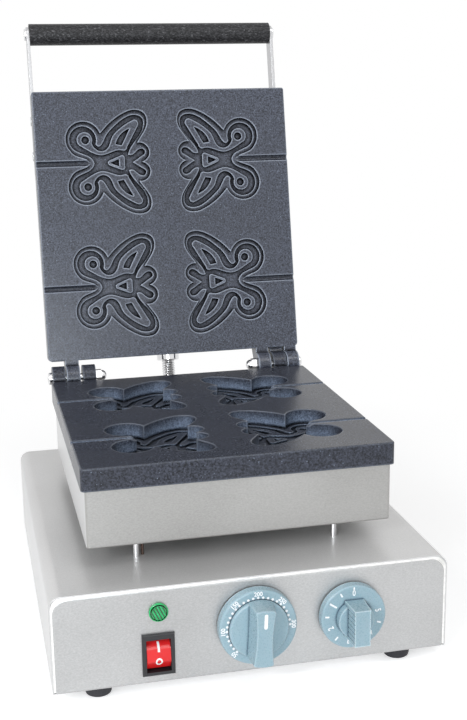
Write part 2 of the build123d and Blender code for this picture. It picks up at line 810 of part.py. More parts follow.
# Heating elements: a bent tube under each plate, with two pins for the wires
def heating_element(frame):
    """A tube heater in one plane below the plate, its two ends at the hinge side."""
    rear = hinge_reach + element_rear
    front = hinge_reach + plate_depth - element_front_inset
    start = hinge_reach + element_lead_start
    plane = frame.offset(-element_level)
    corners = [(-element_lead_spread, start), (-element_lead_spread, rear), (-element_half_width, rear),
               (-element_half_width, front), (element_half_width, front), (element_half_width, rear),
               (element_lead_spread, rear), (element_lead_spread, start)]
    with BuildPart() as element:
        with BuildLine(plane) as path:
            FilletPolyline(*corners, radius=element_bend)
        for side in (-element_lead_spread, element_lead_spread):
            end = Plane(origin=plane.from_local_coords((side, start, 0)), x_dir=frame.x_dir,
                        z_dir=-frame.y_dir)
            with BuildSketch(end):
                Circle(element_pin_radius)
            extrude(amount=element_pin_length)
        with BuildSketch(Plane(origin=path.line @ 0, x_dir=frame.x_dir, z_dir=path.line % 0)):
            Circle(element_radius)
        sweep(path=path.line)
    return element.part


with BuildPart() as lower_element:
    add(heating_element(lower_frame))
lower_element.part.label = "lower_element"
export_step(lower_element.part, "parts/lower_element.step")

with BuildPart() as upper_element:
    add(heating_element(upper_frame))
upper_element.part.label = "upper_element"
export_step(upper_element.part, "parts/upper_element.step")


# Shields press the elements to the plates, and insulation fills the casings behind them
def bay_outline(inset, gap):
    """The inside of a casing less the bay for the wires at the hinge side."""
    margin = inset + sheet + gap
    with BuildSketch() as outline:
        with Locations((0, hinge_reach + plate_depth / 2)):
            RectangleRounded(plate_width - 2 * margin, plate_depth - 2 * margin, casing_corner - sheet)
        with Locations((0, hinge_reach + margin)):
            Rectangle(wiring_bay_width, 2 * (wiring_bay_depth - gap), mode=Mode.SUBTRACT)
        with Locations(*bolt_places):
            Circle(bolt_radius + slide_gap, mode=Mode.SUBTRACT)
    return outline.sketch


sensor_s = hinge_reach + plate_depth - bulb_front_inset
bulb_level = plate_thickness + seat_gap + bulb_radius

with BuildPart() as lower_shield:
    with BuildSketch(lower_frame.offset(-shield_level)):
        add(bay_outline(lower_casing_inset, slide_gap))
        with Locations((capillary_x, sensor_s)):
            Circle(2 * capillary_radius, mode=Mode.SUBTRACT)
    extrude(amount=-shield_thickness)
lower_shield.part.label = "lower_shield"
export_step(lower_shield.part, "parts/lower_shield.step")

with BuildPart() as upper_shield:
    with BuildSketch(upper_frame.offset(-shield_level)):
        add(bay_outline(upper_casing_inset, slide_gap))
    extrude(amount=-shield_thickness)
upper_shield.part.label = "upper_shield"
export_step(upper_shield.part, "parts/upper_shield.step")

filling_height = shell_depth - sheet - filling_level
nut_pocket = post_nut_height + 2 * post_stud_spare

with BuildPart() as lower_insulation:
    with BuildSketch(lower_frame.offset(-filling_level)):
        add(bay_outline(lower_casing_inset, slide_gap))
        with Locations((capillary_x, sensor_s)):
            Circle(2 * capillary_radius, mode=Mode.SUBTRACT)
    extrude(amount=-filling_height)
    with BuildSketch(Plane.XY.offset(casing_floor_z + sheet)):
        with Locations(*post_places):
            Circle(post_nut_flat)
    extrude(amount=nut_pocket, mode=Mode.SUBTRACT)
lower_insulation.part.label = "lower_insulation"
export_step(lower_insulation.part, "parts/lower_insulation.step")

arm_pocket = sheet + arm_nut_height + small_screw_spare
with BuildPart() as upper_insulation:
    with BuildSketch(upper_frame.offset(-filling_level)):
        add(bay_outline(upper_casing_inset, slide_gap))
    extrude(amount=-filling_height)
    for side in (-casing_side, casing_side - arm_pocket):
        with BuildSketch(side_plane(upper_frame, side)):
            with Locations(*[(s, -arm_screw_level) for s in arm_screw_places]):
                Circle(arm_nut_flat * 0.7)
        extrude(amount=arm_pocket, mode=Mode.SUBTRACT)
upper_insulation.part.label = "upper_insulation"
export_step(upper_insulation.part, "parts/upper_insulation.step")


# Bolts from the casings' outsides into the plates' bosses
def plate_bolts(frame):
    """Four bolts through one head."""
    length = shell_depth - plate_thickness - fit_gap
    with BuildPart() as bolts:
        for x, s in bolt_places:
            seat = turned(shifted(frame, x, s, -shell_depth))
            add(screw(seat, bolt_head_radius, bolt_head_height, bolt_radius, length))
    return bolts.part


with BuildPart() as lower_plate_bolts:
    add(plate_bolts(lower_frame))
lower_plate_bolts.part.label = "lower_plate_bolts"
export_step(lower_plate_bolts.part, "parts/lower_plate_bolts.step")

with BuildPart() as upper_plate_bolts:
    add(plate_bolts(upper_frame))
upper_plate_bolts.part.label = "upper_plate_bolts"
export_step(upper_plate_bolts.part, "parts/upper_plate_bolts.step")

# Hinge bolts with domed nuts on their inner ends
outer_lug_end = outer_lug_start + outer_lug_width
pin_length = outer_lug_end - inner_lug_start + acorn_hex_height

with BuildPart() as hinge_bolts:
    for side in (-1, 1):
        seat = Plane(origin=(side * outer_lug_end, hinge_y, hinge_z), x_dir=(0, 1, 0), z_dir=(side, 0, 0))
        add(screw(seat, hinge_head_radius, hinge_head_height, hinge_pin_radius, pin_length))
hinge_bolts.part.label = "hinge_bolts"
export_step(hinge_bolts.part, "parts/hinge_bolts.step")


def acorn_nut(seat):
    """A domed nut on its seat plane."""
    with BuildPart() as piece:
        with BuildSketch(seat):
            RegularPolygon(acorn_flat / 2, 6, major_radius=False)
        extrude(amount=acorn_hex_height)
        with BuildSketch(seat.offset(acorn_hex_height)):
            Circle(acorn_dome_radius)
        extrude(amount=acorn_dome_radius)
        fillet(piece.faces().sort_by(Axis(seat.origin, seat.z_dir))[-1].edges(), acorn_dome_radius * 0.9)
        with BuildSketch(seat):
            Circle(hinge_pin_radius + fit_gap / 2)
        extrude(amount=acorn_hex_height + fit_gap, mode=Mode.SUBTRACT)
    return piece.part


with BuildPart() as hinge_nuts:
    for side in (-1, 1):
        add(acorn_nut(Plane(origin=(side * inner_lug_start, hinge_y, hinge_z), x_dir=(0, 1, 0),
                            z_dir=(-side, 0, 0))))
hinge_nuts.part.label = "hinge_nuts"
export_step(hinge_nuts.part, "parts/hinge_nuts.step")

# Thermostat sensor: a bulb clamped under the lower plate, and its thin tube down to the thermostat
bulb_end = capillary_x - 12 * capillary_radius
thermostat_rear = front_y + sheet + thermostat_depth + thermostat_nose_length
bulb_z = hinge_z - bulb_level
capillary_y = hinge_y - sensor_s
tube_points = [(-bulb_end, capillary_y, bulb_z), (-capillary_x, capillary_y, bulb_z),
               (-capillary_x, capillary_y, dial_level),
               (0, capillary_y, dial_level), (0, thermostat_rear, dial_level)]
tube_radii = [8 * capillary_radius, 10 * capillary_radius, 10 * capillary_radius]

with BuildPart() as sensor:
    with BuildLine() as tube_path:
        FilletPolyline(*tube_points, radius=tube_radii)
    with BuildSketch(Plane(origin=tube_path.line @ 0, z_dir=tube_path.line % 0)):
        Circle(capillary_radius)
    sweep(path=tube_path.line)
    with BuildSketch(Plane(origin=(-bulb_end, capillary_y, bulb_z), z_dir=(1, 0, 0))):
        Circle(bulb_radius)
    extrude(amount=bulb_length)
sensor.part.label = "temperature_sensor"
export_step(sensor.part, "parts/temperature_sensor.step")

clamp_level = bulb_level + bulb_radius + fit_gap
with BuildPart() as sensor_clamp:
    with BuildSketch(lower_frame.offset(-clamp_level)):
        with Locations((0, sensor_s)):
            Rectangle(clamp_length, 2 * clamp_half_width)
        with Locations((0, sensor_s - clamp_screw_spread), (0, sensor_s + clamp_screw_spread)):
            Circle(clamp_screw_radius + fit_gap / 2, mode=Mode.SUBTRACT)
    extrude(amount=-clamp_thickness)
sensor_clamp.part.label = "sensor_clamp"
export_step(sensor_clamp.part, "parts/sensor_clamp.step")

with BuildPart() as clamp_screws:
    for side in (-clamp_screw_spread, clamp_screw_spread):
        seat = turned(shifted(lower_frame, 0, sensor_s + side, -clamp_level - clamp_thickness))
        length = clamp_level + clamp_thickness - plate_thickness + bulb_radius - fit_gap
        add(screw(seat, 2 * clamp_screw_radius, clamp_thickness, clamp_screw_radius, length))
clamp_screws.part.label = "clamp_screws"
export_step(clamp_screws.part, "parts/clamp_screws.step")

# Sleeve for the wires between the housing and the lower casing
with BuildPart() as wiring_sleeve:
    with BuildSketch(Plane(origin=(*sleeve_place, top_z - sheet - sleeve_flange))):
        Circle(sleeve_radius)
    extrude(amount=post_height + 2 * (sheet + sleeve_flange))
    with BuildSketch(Plane(origin=(*sleeve_place, top_z))):
        Circle(sleeve_radius + sleeve_flange)
    extrude(amount=post_height)
    with BuildSketch(Plane(origin=(*sleeve_place, top_z - overrun))):
        Circle(sleeve_radius - sleeve_wall)
    extrude(amount=post_height + 2 * overrun, mode=Mode.SUBTRACT)
wiring_sleeve.part.label = "wiring_sleeve"
export_step(wiring_sleeve.part, "parts/wiring_sleeve.step")

# Thermostat: body behind the panel, fixed number ring in front of it, knob and shaft that turn
thermostat_seat = shifted(front_plane, 0, dial_level)
dial_opening = hub_radius + slide_gap

with BuildPart() as thermostat_body:
    with BuildSketch(thermostat_seat.offset(-sheet)) as outline:
        Rectangle(thermostat_width, thermostat_height)
        fillet(outline.vertices(), thermostat_nose_length / 2)
    extrude(amount=-thermostat_depth)
    with BuildSketch(thermostat_seat.offset(-sheet - thermostat_depth)):
        Circle(thermostat_nose_radius)
    extrude(amount=-thermostat_nose_length)
    with BuildSketch(thermostat_seat.offset(-sheet)):
        Circle(shaft_radius + slide_gap)
    extrude(amount=-thermostat_depth / 2, mode=Mode.SUBTRACT)
    with BuildSketch(thermostat_seat.offset(-sheet)):
        with Locations((0, control_screw_spread), (0, -control_screw_spread)):
            Circle(control_screw_radius + fit_gap / 2)
    extrude(amount=-thermostat_depth / 3, mode=Mode.SUBTRACT)
thermostat_body.part.label = "thermostat_body"
export_step(thermostat_body.part, "parts/thermostat_body.step")

with BuildPart() as thermostat_dial:
    with BuildSketch(thermostat_seat.offset(dial_gap)):
        Circle(dial_radius)
    extrude(amount=dial_thickness)
    fillet(thermostat_dial.faces().sort_by(Axis.Y)[0].edges(), dial_rim_round)
    with BuildSketch(thermostat_seat):
        Circle(dial_foot_radius)
    extrude(amount=dial_gap)
    with BuildSketch(thermostat_seat):
        Circle(dial_opening)
    extrude(amount=dial_gap + dial_thickness, mode=Mode.SUBTRACT)
thermostat_dial.part.label = "thermostat_dial"
export_step(thermostat_dial.part, "parts/thermostat_dial.step")

hub_top = dial_gap + dial_thickness + hub_rise
hub_start = dial_gap + slide_gap


def shaft_outline(gap):
    """The flatted shaft's section, opened up by a gap."""
    with BuildSketch() as outline:
        Circle(shaft_radius + gap)
        with Locations((0, shaft_radius + gap)):
            Rectangle(2 * (shaft_radius + gap), 2 * shaft_flat, mode=Mode.SUBTRACT)
    return outline.sketch


def knob_pocket(seat, radius):
    """The hollow in a knob's back, round the boss that grips the shaft."""
    with BuildPart() as pocket:
        with BuildSketch(seat):
            Circle(radius - knob_wall)
            Circle(shaft_radius + 1.5 * knob_wall, mode=Mode.SUBTRACT)
        extrude(amount=knob_pocket_depth)
        with BuildSketch(seat):
            add(shaft_outline(fit_gap / 2))
        extrude(amount=shaft_grip)
    return pocket.part


bar_turn = radians(bar_angle)
knob_seat = Plane(origin=thermostat_seat.origin,
                  x_dir=(cos(bar_turn), 0, sin(bar_turn)), z_dir=(0, -1, 0))


def bar_outline(waist, end, length):
    """The bar's outline: hollow sides between two wide, rounded ends."""
    with BuildSketch() as outline:
        with BuildLine():
            ThreePointArc((-end / 2, -length / 2), (-waist / 2, 0), (-end / 2, length / 2))
            ThreePointArc((-end / 2, length / 2), (0, length / 2 + waist / 12), (end / 2, length / 2))
            ThreePointArc((end / 2, length / 2), (waist / 2, 0), (end / 2, -length / 2))
            ThreePointArc((end / 2, -length / 2), (0, -length / 2 - waist / 12), (-end / 2, -length / 2))
        make_face()
        fillet(outline.vertices(), hub_round)
    return outline.sketch


bar_top_length = bar_length - 2 * hub_round
with BuildPart() as thermostat_knob:
    with BuildSketch(knob_seat.offset(hub_start)):
        Circle(hub_radius)
    extrude(amount=hub_top - hub_start)
    fillet(thermostat_knob.faces().sort_by(Axis.Y)[0].edges(), hub_round)
    with BuildSketch(knob_seat.offset(hub_top - hub_round)):
        add(bar_outline(bar_waist + 2 * bar_flare, bar_end_width + bar_flare, bar_top_length))
    with BuildSketch(knob_seat.offset(bar_projection)):
        add(bar_outline(bar_waist, bar_end_width, bar_top_length))
    loft()
    fillet(thermostat_knob.faces().sort_by(Axis.Y)[0].edges(), hub_round / 2)
    add(knob_pocket(knob_seat.offset(hub_start), hub_radius), mode=Mode.SUBTRACT)
thermostat_knob.part.label = "thermostat_knob"
export_step(thermostat_knob.part, "parts/thermostat_knob.step")

shaft_start = sheet + thermostat_depth / 3
with BuildPart() as thermostat_shaft:
    with BuildSketch(knob_seat.offset(-shaft_start)):
        add(shaft_outline(0))
    extrude(amount=shaft_start + hub_start + shaft_grip - fit_gap)
thermostat_shaft.part.label = "thermostat_shaft"
export_step(thermostat_shaft.part, "parts/thermostat_shaft.step")

# Timer: body behind the panel, and a numbered dial with its grip that turns as one
timer_seat = shifted(front_plane, timer_x, timer_level)

with BuildPart() as timer_body:
    with BuildSketch(timer_seat.offset(-sheet)):
        Circle(timer_body_radius)
    extrude(amount=-timer_body_depth)
    with BuildSketch(timer_seat.offset(-sheet)):
        Circle(shaft_radius + slide_gap)
    extrude(amount=-timer_body_depth / 2, mode=Mode.SUBTRACT)
    with BuildSketch(timer_seat.offset(-sheet)):
        with Locations((0, control_screw_spread), (0, -control_screw_spread)):
            Circle(control_screw_radius + fit_gap / 2)
    extrude(amount=-timer_body_depth / 3, mode=Mode.SUBTRACT)
timer_body.part.label = "timer_body"
export_step(timer_body.part, "parts/timer_body.step")

skirt_start = dial_gap + slide_gap
skirt_top = skirt_start + skirt_thickness


def grip_outline(width):
    """The timer grip's section: a rectangle with ribbed long sides."""
    with BuildSketch() as outline:
        Rectangle(width, grip_length)
        with GridLocations(width, grip_length / (grip_rib_count + 1), 2, grip_rib_count):
            Circle(grip_rib_depth, mode=Mode.SUBTRACT)
    return outline.sketch


with BuildPart() as timer_knob:
    with BuildSketch(timer_seat.offset(skirt_start)):
        Circle(skirt_radius)
    extrude(amount=skirt_thickness)
    fillet(timer_knob.faces().sort_by(Axis.Y)[0].edges(), skirt_round)
    with BuildSketch(timer_seat.offset(skirt_top)):
        Circle(timer_hub_radius)
    extrude(amount=timer_hub_thickness - skirt_thickness)
    fillet(timer_knob.faces().sort_by(Axis.Y)[0].edges(), skirt_round / 2)
    with BuildSketch(timer_seat.offset(skirt_top)):
        add(grip_outline(grip_base_width))
    with BuildSketch(timer_seat.offset(knob_projection)):
        add(grip_outline(grip_width))
    loft(ruled=True)
    add(knob_pocket(timer_seat.offset(skirt_start), skirt_radius), mode=Mode.SUBTRACT)
timer_knob.part.label = "timer_knob"
export_step(timer_knob.part, "parts/timer_knob.step")

timer_shaft_start = sheet + timer_body_depth / 3
with BuildPart() as timer_shaft:
    with BuildSketch(timer_seat.offset(-timer_shaft_start)):
        add(shaft_outline(0))
    extrude(amount=timer_shaft_start + skirt_start + shaft_grip - fit_gap)
timer_shaft.part.label = "timer_shaft"
export_step(timer_shaft.part, "parts/timer_shaft.step")

with BuildPart() as control_screws:
    for x, level in control_screw_places:
        add(screw(shifted(front_plane, x, level), control_screw_head, control_screw_head_height,
                  control_screw_radius, sheet + thermostat_depth / 4))
control_screws.part.label = "control_screws"
export_step(control_screws.part, "parts/control_screws.step")

# Rocker switch: housing with its bezel, the rocker on two stub pins, and the tabs behind
switch_seat = shifted(front_plane, switch_x, switch_level)
well_width = rocker_width + 2 * rocker_side_gap
well_height = rocker_height + 2 * rocker_gap

with BuildPart() as switch_housing:
    with BuildSketch(switch_seat):
        Rectangle(bezel_width, bezel_height)
    extrude(amount=bezel_thickness)
    fillet(switch_housing.faces().sort_by(Axis.Y)[0].edges(), bezel_round)
    with BuildSketch(switch_seat):
        Rectangle(switch_body_width, switch_body_height)
    extrude(amount=-switch_body_depth)
    with BuildSketch(shifted(switch_seat, 0, -rocker_drop, bezel_thickness)):
        Rectangle(well_width, well_height)
    extrude(amount=-bezel_thickness - switch_body_depth / 2, mode=Mode.SUBTRACT)
    pin_half = rocker_width / 2 + rocker_pin_length
    pin_start = switch_seat.from_local_coords((-pin_half - fit_gap, -rocker_drop, -rocker_pivot_depth))
    with BuildSketch(Plane(origin=pin_start, z_dir=(1, 0, 0))):
        Circle(rocker_pin_radius + fit_gap)
    extrude(amount=2 * (pin_half + fit_gap), mode=Mode.SUBTRACT)
switch_housing.part.label = "switch_housing"
export_step(switch_housing.part, "parts/switch_housing.step")

# The rocker's profile is drawn across it, x up and y outwards, tipped in at its upper end
tilt = radians(rocker_tilt)
rocker_start = switch_seat.from_local_coords((rocker_width / 2, -rocker_drop, -rocker_pivot_depth))
rocker_plane = Plane(origin=rocker_start,
                     x_dir=(0, -sin(-tilt), cos(tilt)), z_dir=(-1, 0, 0))
with BuildPart() as switch_rocker:
    with BuildSketch(rocker_plane) as profile:
        with BuildLine():
            half = rocker_height / 2
            waist = half * rocker_waist_share
            foot_half = half * rocker_foot_share
            Polyline((-half, rocker_rise), (0, rocker_rise - rocker_dip), (half, rocker_rise),
                     (waist, 0), (foot_half, -rocker_rise), (-foot_half, -rocker_rise), (-waist, 0),
                     close=True)
        make_face()
    extrude(amount=rocker_width)
    with BuildSketch(rocker_plane.offset(-rocker_pin_length)):
        Circle(rocker_pin_radius)
    extrude(amount=rocker_width + 2 * rocker_pin_length)
switch_rocker.part.label = "switch_rocker"
export_step(switch_rocker.part, "parts/switch_rocker.step")

with BuildPart() as switch_tabs:
    with BuildSketch(switch_seat.offset(-switch_body_depth)):
        with GridLocations(tab_pitch, tab_pitch, 2, 2):
            Rectangle(tab_width, tab_thickness)
    extrude(amount=-tab_length)
switch_tabs.part.label = "switch_tabs"
export_step(switch_tabs.part, "parts/switch_tabs.step")

# Pilot lamp: coloured housing, ribbed lens in it and a nut behind the panel
lamp_seat = shifted(front_plane, lamp_x, lamp_level)
with BuildPart() as lamp_housing:
    with BuildSketch(lamp_seat):
        Circle(lamp_radius)
    extrude(amount=lamp_projection)
    fillet(lamp_housing.faces().sort_by(Axis.Y)[0].edges(), lamp_round)
    with BuildSketch(lamp_seat):
        Circle(lamp_neck_radius)
    extrude(amount=-lamp_neck_length)
    with BuildSketch(lamp_seat.offset(lamp_projection)):
        Circle(lens_radius + lamp_ring_gap)
    extrude(amount=-lamp_projection + fit_gap, mode=Mode.SUBTRACT)
    with BuildSketch(lamp_seat.offset(lamp_projection)):
        Circle(lens_radius - lamp_ring_gap)
    extrude(amount=-lens_depth, mode=Mode.SUBTRACT)
lamp_housing.part.label = "lamp_housing"
export_step(lamp_housing.part, "parts/lamp_housing.step")

lens_back = lamp_projection - lens_depth
with BuildPart() as lamp_lens:
    with BuildSketch(lamp_seat.offset(lens_back)):
        Circle(lens_radius - lamp_ring_gap - fit_gap)
    extrude(amount=lens_depth)
    with BuildSketch(lamp_seat.offset(2 * fit_gap)):
        Circle(lens_radius)
    extrude(amount=lamp_projection - 2 * fit_gap)
    with BuildSketch(lamp_seat.offset(lamp_projection)):
        Circle(lens_radius)
        for rib in range(lens_rib_count):
            place = (2 * rib + 1 - lens_rib_count) * lens_radius / lens_rib_count
            with Locations((place * cos(radians(lens_turn)), place * sin(radians(lens_turn)))):
                Rectangle(lens_radius / lens_rib_count, 2 * lens_radius, rotation=lens_turn,
                          mode=Mode.SUBTRACT)
    extrude(amount=lens_crown)
lamp_lens.part.label = "lamp_lens"
export_step(lamp_lens.part, "parts/lamp_lens.step")

with BuildPart() as lamp_nut:
    add(nut(turned(lamp_seat.offset(-sheet)), 2 * lamp_radius, small_nut_height,
            lamp_neck_radius + fit_gap / 2))
lamp_nut.part.label = "lamp_nut"
export_step(lamp_nut.part, "parts/lamp_nut.step")

# Terminal block on the housing floor
block_plane = Plane(origin=(block_x, front_y + block_y, floor_z + sheet))
way_pitch = block_length / block_ways
with BuildPart() as terminal_block:
    with BuildSketch(block_plane):
        Rectangle(block_length, block_width)
    extrude(amount=block_height)
    with BuildSketch(block_plane.offset(block_height)):
        with GridLocations(way_pitch, block_width / 2, block_ways, 2):
            Circle(small_screw_radius + slide_gap)
    extrude(amount=-block_height / 2, mode=Mode.SUBTRACT)
    way_start = block_plane.from_local_coords((0, -block_width, block_height / 4))
    with BuildSketch(Plane(origin=way_start, x_dir=(1, 0, 0), z_dir=(0, 1, 0))):
        with GridLocations(way_pitch, 0, block_ways, 1):
            Circle(small_screw_radius)
    extrude(amount=2 * block_width, mode=Mode.SUBTRACT)
terminal_block.part.label = "terminal_block"
export_step(terminal_block.part, "parts/terminal_block.step")

with BuildPart() as terminal_screws:
    for place in GridLocations(way_pitch, block_width / 2, block_ways, 2):
        x, y = place.position.X, place.position.Y
        seat = shifted(block_plane, x, y, block_height / 2)
        with BuildSketch(seat):
            Circle(small_screw_radius)
        extrude(amount=block_height / 3)
terminal_screws.part.label = "terminal_screws"
export_step(terminal_screws.part, "parts/terminal_screws.step")


# Glands: a body outside the sheet, a neck through it and a nut behind
def gland_body(seat, radius, height, neck, neck_length, bore):
    """A turned gland on its seat plane, bored through."""
    with BuildPart() as gland:
        with BuildSketch(seat):
            Circle(radius)
        extrude(amount=height)
        fillet(gland.faces().sort_by(Axis(seat.origin, seat.z_dir))[-1].edges(), gland_round)
        with BuildSketch(seat):
            Circle(neck)
        extrude(amount=-neck_length)
        with BuildSketch(seat.offset(height)):
            Circle(bore)
        extrude(amount=-height - neck_length, mode=Mode.SUBTRACT)
    return gland.part


conduit_bore = conduit_radius - conduit_wall
base_gland_seat = Plane(origin=(*gland_place, top_z))
inlet_seat = shifted(rear_plane, -inlet_x, inlet_level)

with BuildPart() as inlet_gland:
    add(gland_body(inlet_seat, inlet_radius, inlet_length, inlet_neck_radius, gland_neck_length, inlet_bore))
inlet_gland.part.label = "inlet_gland"
export_step(inlet_gland.part, "parts/inlet_gland.step")

with BuildPart() as housing_gland:
    add(gland_body(base_gland_seat, gland_radius, gland_height, gland_neck_radius, gland_neck_length,
                   conduit_bore))
housing_gland.part.label = "housing_gland"
export_step(housing_gland.part, "parts/housing_gland.step")

with BuildPart() as lid_gland:
    add(gland_body(gland_wall, lid_gland_radius, gland_height, gland_neck_radius, gland_neck_length,
                   conduit_bore))
lid_gland.part.label = "lid_gland"
export_step(lid_gland.part, "parts/lid_gland.step")

with BuildPart() as base_gland_nuts:
    add(nut(turned(inlet_seat.offset(-sheet)), gland_nut_flat, gland_nut_height,
            inlet_neck_radius + fit_gap / 2))
    add(nut(turned(base_gland_seat.offset(-sheet)), gland_nut_flat, gland_nut_height,
            gland_neck_radius + fit_gap / 2))
base_gland_nuts.part.label = "base_gland_nuts"
export_step(base_gland_nuts.part, "parts/base_gland_nuts.step")

with BuildPart() as lid_gland_nut:
    add(nut(turned(gland_wall.offset(-sheet)), gland_nut_flat, gland_nut_height,
            gland_neck_radius + fit_gap / 2))
lid_gland_nut.part.label = "lid_gland_nut"
export_step(lid_gland_nut.part, "parts/lid_gland_nut.step")

# Flexible conduit between the two glands: straight out of each, with a bend between
route_points = [gland_wall.from_local_coords((0, 0, gland_height)),
                gland_wall.from_local_coords((0, 0, gland_height + conduit_run)),
                base_gland_seat.from_local_coords((0, 0, gland_height + conduit_run)),
                base_gland_seat.from_local_coords((0, 0, gland_height))]
route_radii = []
for before, corner, after in zip(route_points, route_points[1:], route_points[2:]):
    run_in = Vector(corner) - Vector(before)
    run_out = Vector(after) - Vector(corner)
    half_turn = radians(run_in.get_angle(run_out)) / 2
    route_radii.append(0.45 * min(run_in.length, run_out.length) / tan(half_turn))

with BuildPart() as conduit_hose:
    with BuildLine() as hose_path:
        FilletPolyline(*route_points, radius=route_radii)
    with BuildSketch(Plane(origin=hose_path.line @ 0, x_dir=(1, 0, 0), z_dir=hose_path.line % 0)):
        Circle(conduit_radius)
        Circle(conduit_bore, mode=Mode.SUBTRACT)
    sweep(path=hose_path.line)
conduit_hose.part.label = "conduit_hose"
export_step(conduit_hose.part, "parts/conduit_hose.step")

# Handle: a grip on a rod between two flat arms that lie on the upper casing's sides
grip_start = -casing_side
arm_foot = hinge_reach + plate_depth - upper_casing_inset - arm_lap

with BuildPart() as handle_grip:
    with BuildSketch(shifted(side_plane(upper_frame, grip_start), handle_reach, -handle_level)):
        Circle(grip_radius)
        Circle(rod_radius + fit_gap, mode=Mode.SUBTRACT)
    extrude(amount=2 * casing_side)
handle_grip.part.label = "handle_grip"
export_step(handle_grip.part, "parts/handle_grip.step")

with BuildPart() as handle_rod:
    with BuildSketch(shifted(side_plane(upper_frame, grip_start), handle_reach, -handle_level)):
        Circle(rod_radius)
    extrude(amount=2 * casing_side)
    for side in (grip_start, casing_side - handle_screw_length):
        with BuildSketch(shifted(side_plane(upper_frame, side), handle_reach, -handle_level)):
            Circle(handle_screw_radius + fit_gap / 2)
        extrude(amount=handle_screw_length, mode=Mode.SUBTRACT)
handle_rod.part.label = "handle_rod"
export_step(handle_rod.part, "parts/handle_rod.step")

for name, side in (("left", -casing_side - arm_thickness), ("right", casing_side)):
    with BuildPart() as arm:
        with BuildSketch(side_plane(upper_frame, side)) as outline:
            with Locations(((arm_foot + handle_reach) / 2, -handle_level)):
                Rectangle(handle_reach - arm_foot, arm_width)
            fillet(outline.vertices().group_by(Axis.X)[0], arm_width / 4)
            with Locations((handle_reach, -handle_level)):
                Circle(arm_width / 2)
                Circle(handle_screw_radius + fit_gap, mode=Mode.SUBTRACT)
            with Locations(*[(s, -arm_screw_level) for s in arm_screw_places]):
                Circle(arm_screw_radius + fit_gap, mode=Mode.SUBTRACT)
        extrude(amount=arm_thickness)
    arm.part.label = f"handle_arm_{name}"
    export_step(arm.part, f"parts/handle_arm_{name}.step")

arm_outside = casing_side + arm_thickness
with BuildPart() as handle_screws:
    for side in (-1, 1):
        seat = Plane(origin=upper_frame.from_local_coords((side * arm_outside, handle_reach, -handle_level)),
                     x_dir=(0, 1, 0), z_dir=(side, 0, 0))
        add(screw(seat, handle_screw_head, handle_screw_head_height, handle_screw_radius,
                  arm_thickness + handle_screw_length - fit_gap))
handle_screws.part.label = "handle_screws"
export_step(handle_screws.part, "parts/handle_screws.step")

with BuildPart() as arm_screws:
    for side in (-1, 1):
        for s in arm_screw_places:
            seat = Plane(origin=upper_frame.from_local_coords((side * arm_outside, s, -arm_screw_level)),
                         x_dir=(0, 1, 0), z_dir=(side, 0, 0))
            inside = upper_frame.from_local_coords((side * (casing_side - sheet), s, -arm_screw_level))
            inner = Plane(origin=inside, x_dir=(0, 1, 0), z_dir=(-side, 0, 0))
            length = arm_thickness + sheet + arm_nut_height
            add(screw(seat, arm_screw_head, arm_screw_head_height, arm_screw_radius, length))
            add(nut(inner, arm_nut_flat, arm_nut_height, arm_screw_radius + fit_gap / 2))
arm_screws.part.label = "arm_screws"
export_step(arm_screws.part, "parts/arm_screws.step")
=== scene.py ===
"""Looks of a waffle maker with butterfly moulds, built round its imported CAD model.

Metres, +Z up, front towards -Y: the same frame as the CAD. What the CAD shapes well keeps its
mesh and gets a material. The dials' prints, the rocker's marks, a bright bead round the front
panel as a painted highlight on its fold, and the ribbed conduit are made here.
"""
import json
from math import cos, pi, radians, sin, sqrt, tau

import bmesh
import bpy
from mathutils import Matrix, Vector


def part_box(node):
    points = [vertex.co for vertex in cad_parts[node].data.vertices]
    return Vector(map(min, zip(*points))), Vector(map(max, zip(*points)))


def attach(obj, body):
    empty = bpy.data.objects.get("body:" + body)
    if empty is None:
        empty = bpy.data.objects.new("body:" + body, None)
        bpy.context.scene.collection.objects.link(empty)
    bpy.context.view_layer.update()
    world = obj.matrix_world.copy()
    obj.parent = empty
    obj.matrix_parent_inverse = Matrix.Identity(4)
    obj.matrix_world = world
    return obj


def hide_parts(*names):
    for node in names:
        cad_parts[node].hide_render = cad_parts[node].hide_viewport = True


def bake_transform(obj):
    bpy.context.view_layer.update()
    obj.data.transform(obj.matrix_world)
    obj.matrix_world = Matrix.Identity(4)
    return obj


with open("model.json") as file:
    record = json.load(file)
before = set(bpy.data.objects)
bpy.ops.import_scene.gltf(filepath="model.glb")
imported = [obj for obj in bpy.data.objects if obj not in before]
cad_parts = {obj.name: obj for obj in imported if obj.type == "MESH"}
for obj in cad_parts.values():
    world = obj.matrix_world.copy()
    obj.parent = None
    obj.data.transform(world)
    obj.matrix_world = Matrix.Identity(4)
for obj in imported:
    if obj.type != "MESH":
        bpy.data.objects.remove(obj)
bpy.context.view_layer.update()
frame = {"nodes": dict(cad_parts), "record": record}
nodes = frame["nodes"]

# Places on the CAD model
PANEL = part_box("front_panel")
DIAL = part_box("thermostat_dial")
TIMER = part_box("timer_knob")
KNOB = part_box("thermostat_knob")
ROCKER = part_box("switch_rocker")
FRONT = PANEL[0].y
DIAL_MIDDLE = (DIAL[0] + DIAL[1]) / 2
TIMER_MIDDLE = (TIMER[0] + TIMER[1]) / 2
ROCKER_MIDDLE = (ROCKER[0] + ROCKER[1]) / 2

# Camera, worked out from the straight edges in the photograph
CAMERA_PLACE = (-0.1742, -0.8766, 0.4030)
CAMERA_YAW = radians(12.96)
CAMERA_PITCH = radians(-13.93)
CAMERA_ROLL = radians(-0.81)
LENS_MM = 59.125
FILM_HEIGHT_MM = 36.0
FARTHEST_SEEN = 50.0


def placed(name, data):
    """A new object that holds some data, in the scene."""
    made = bpy.data.objects.new(name, data)
    bpy.context.scene.collection.objects.link(made)
    return made


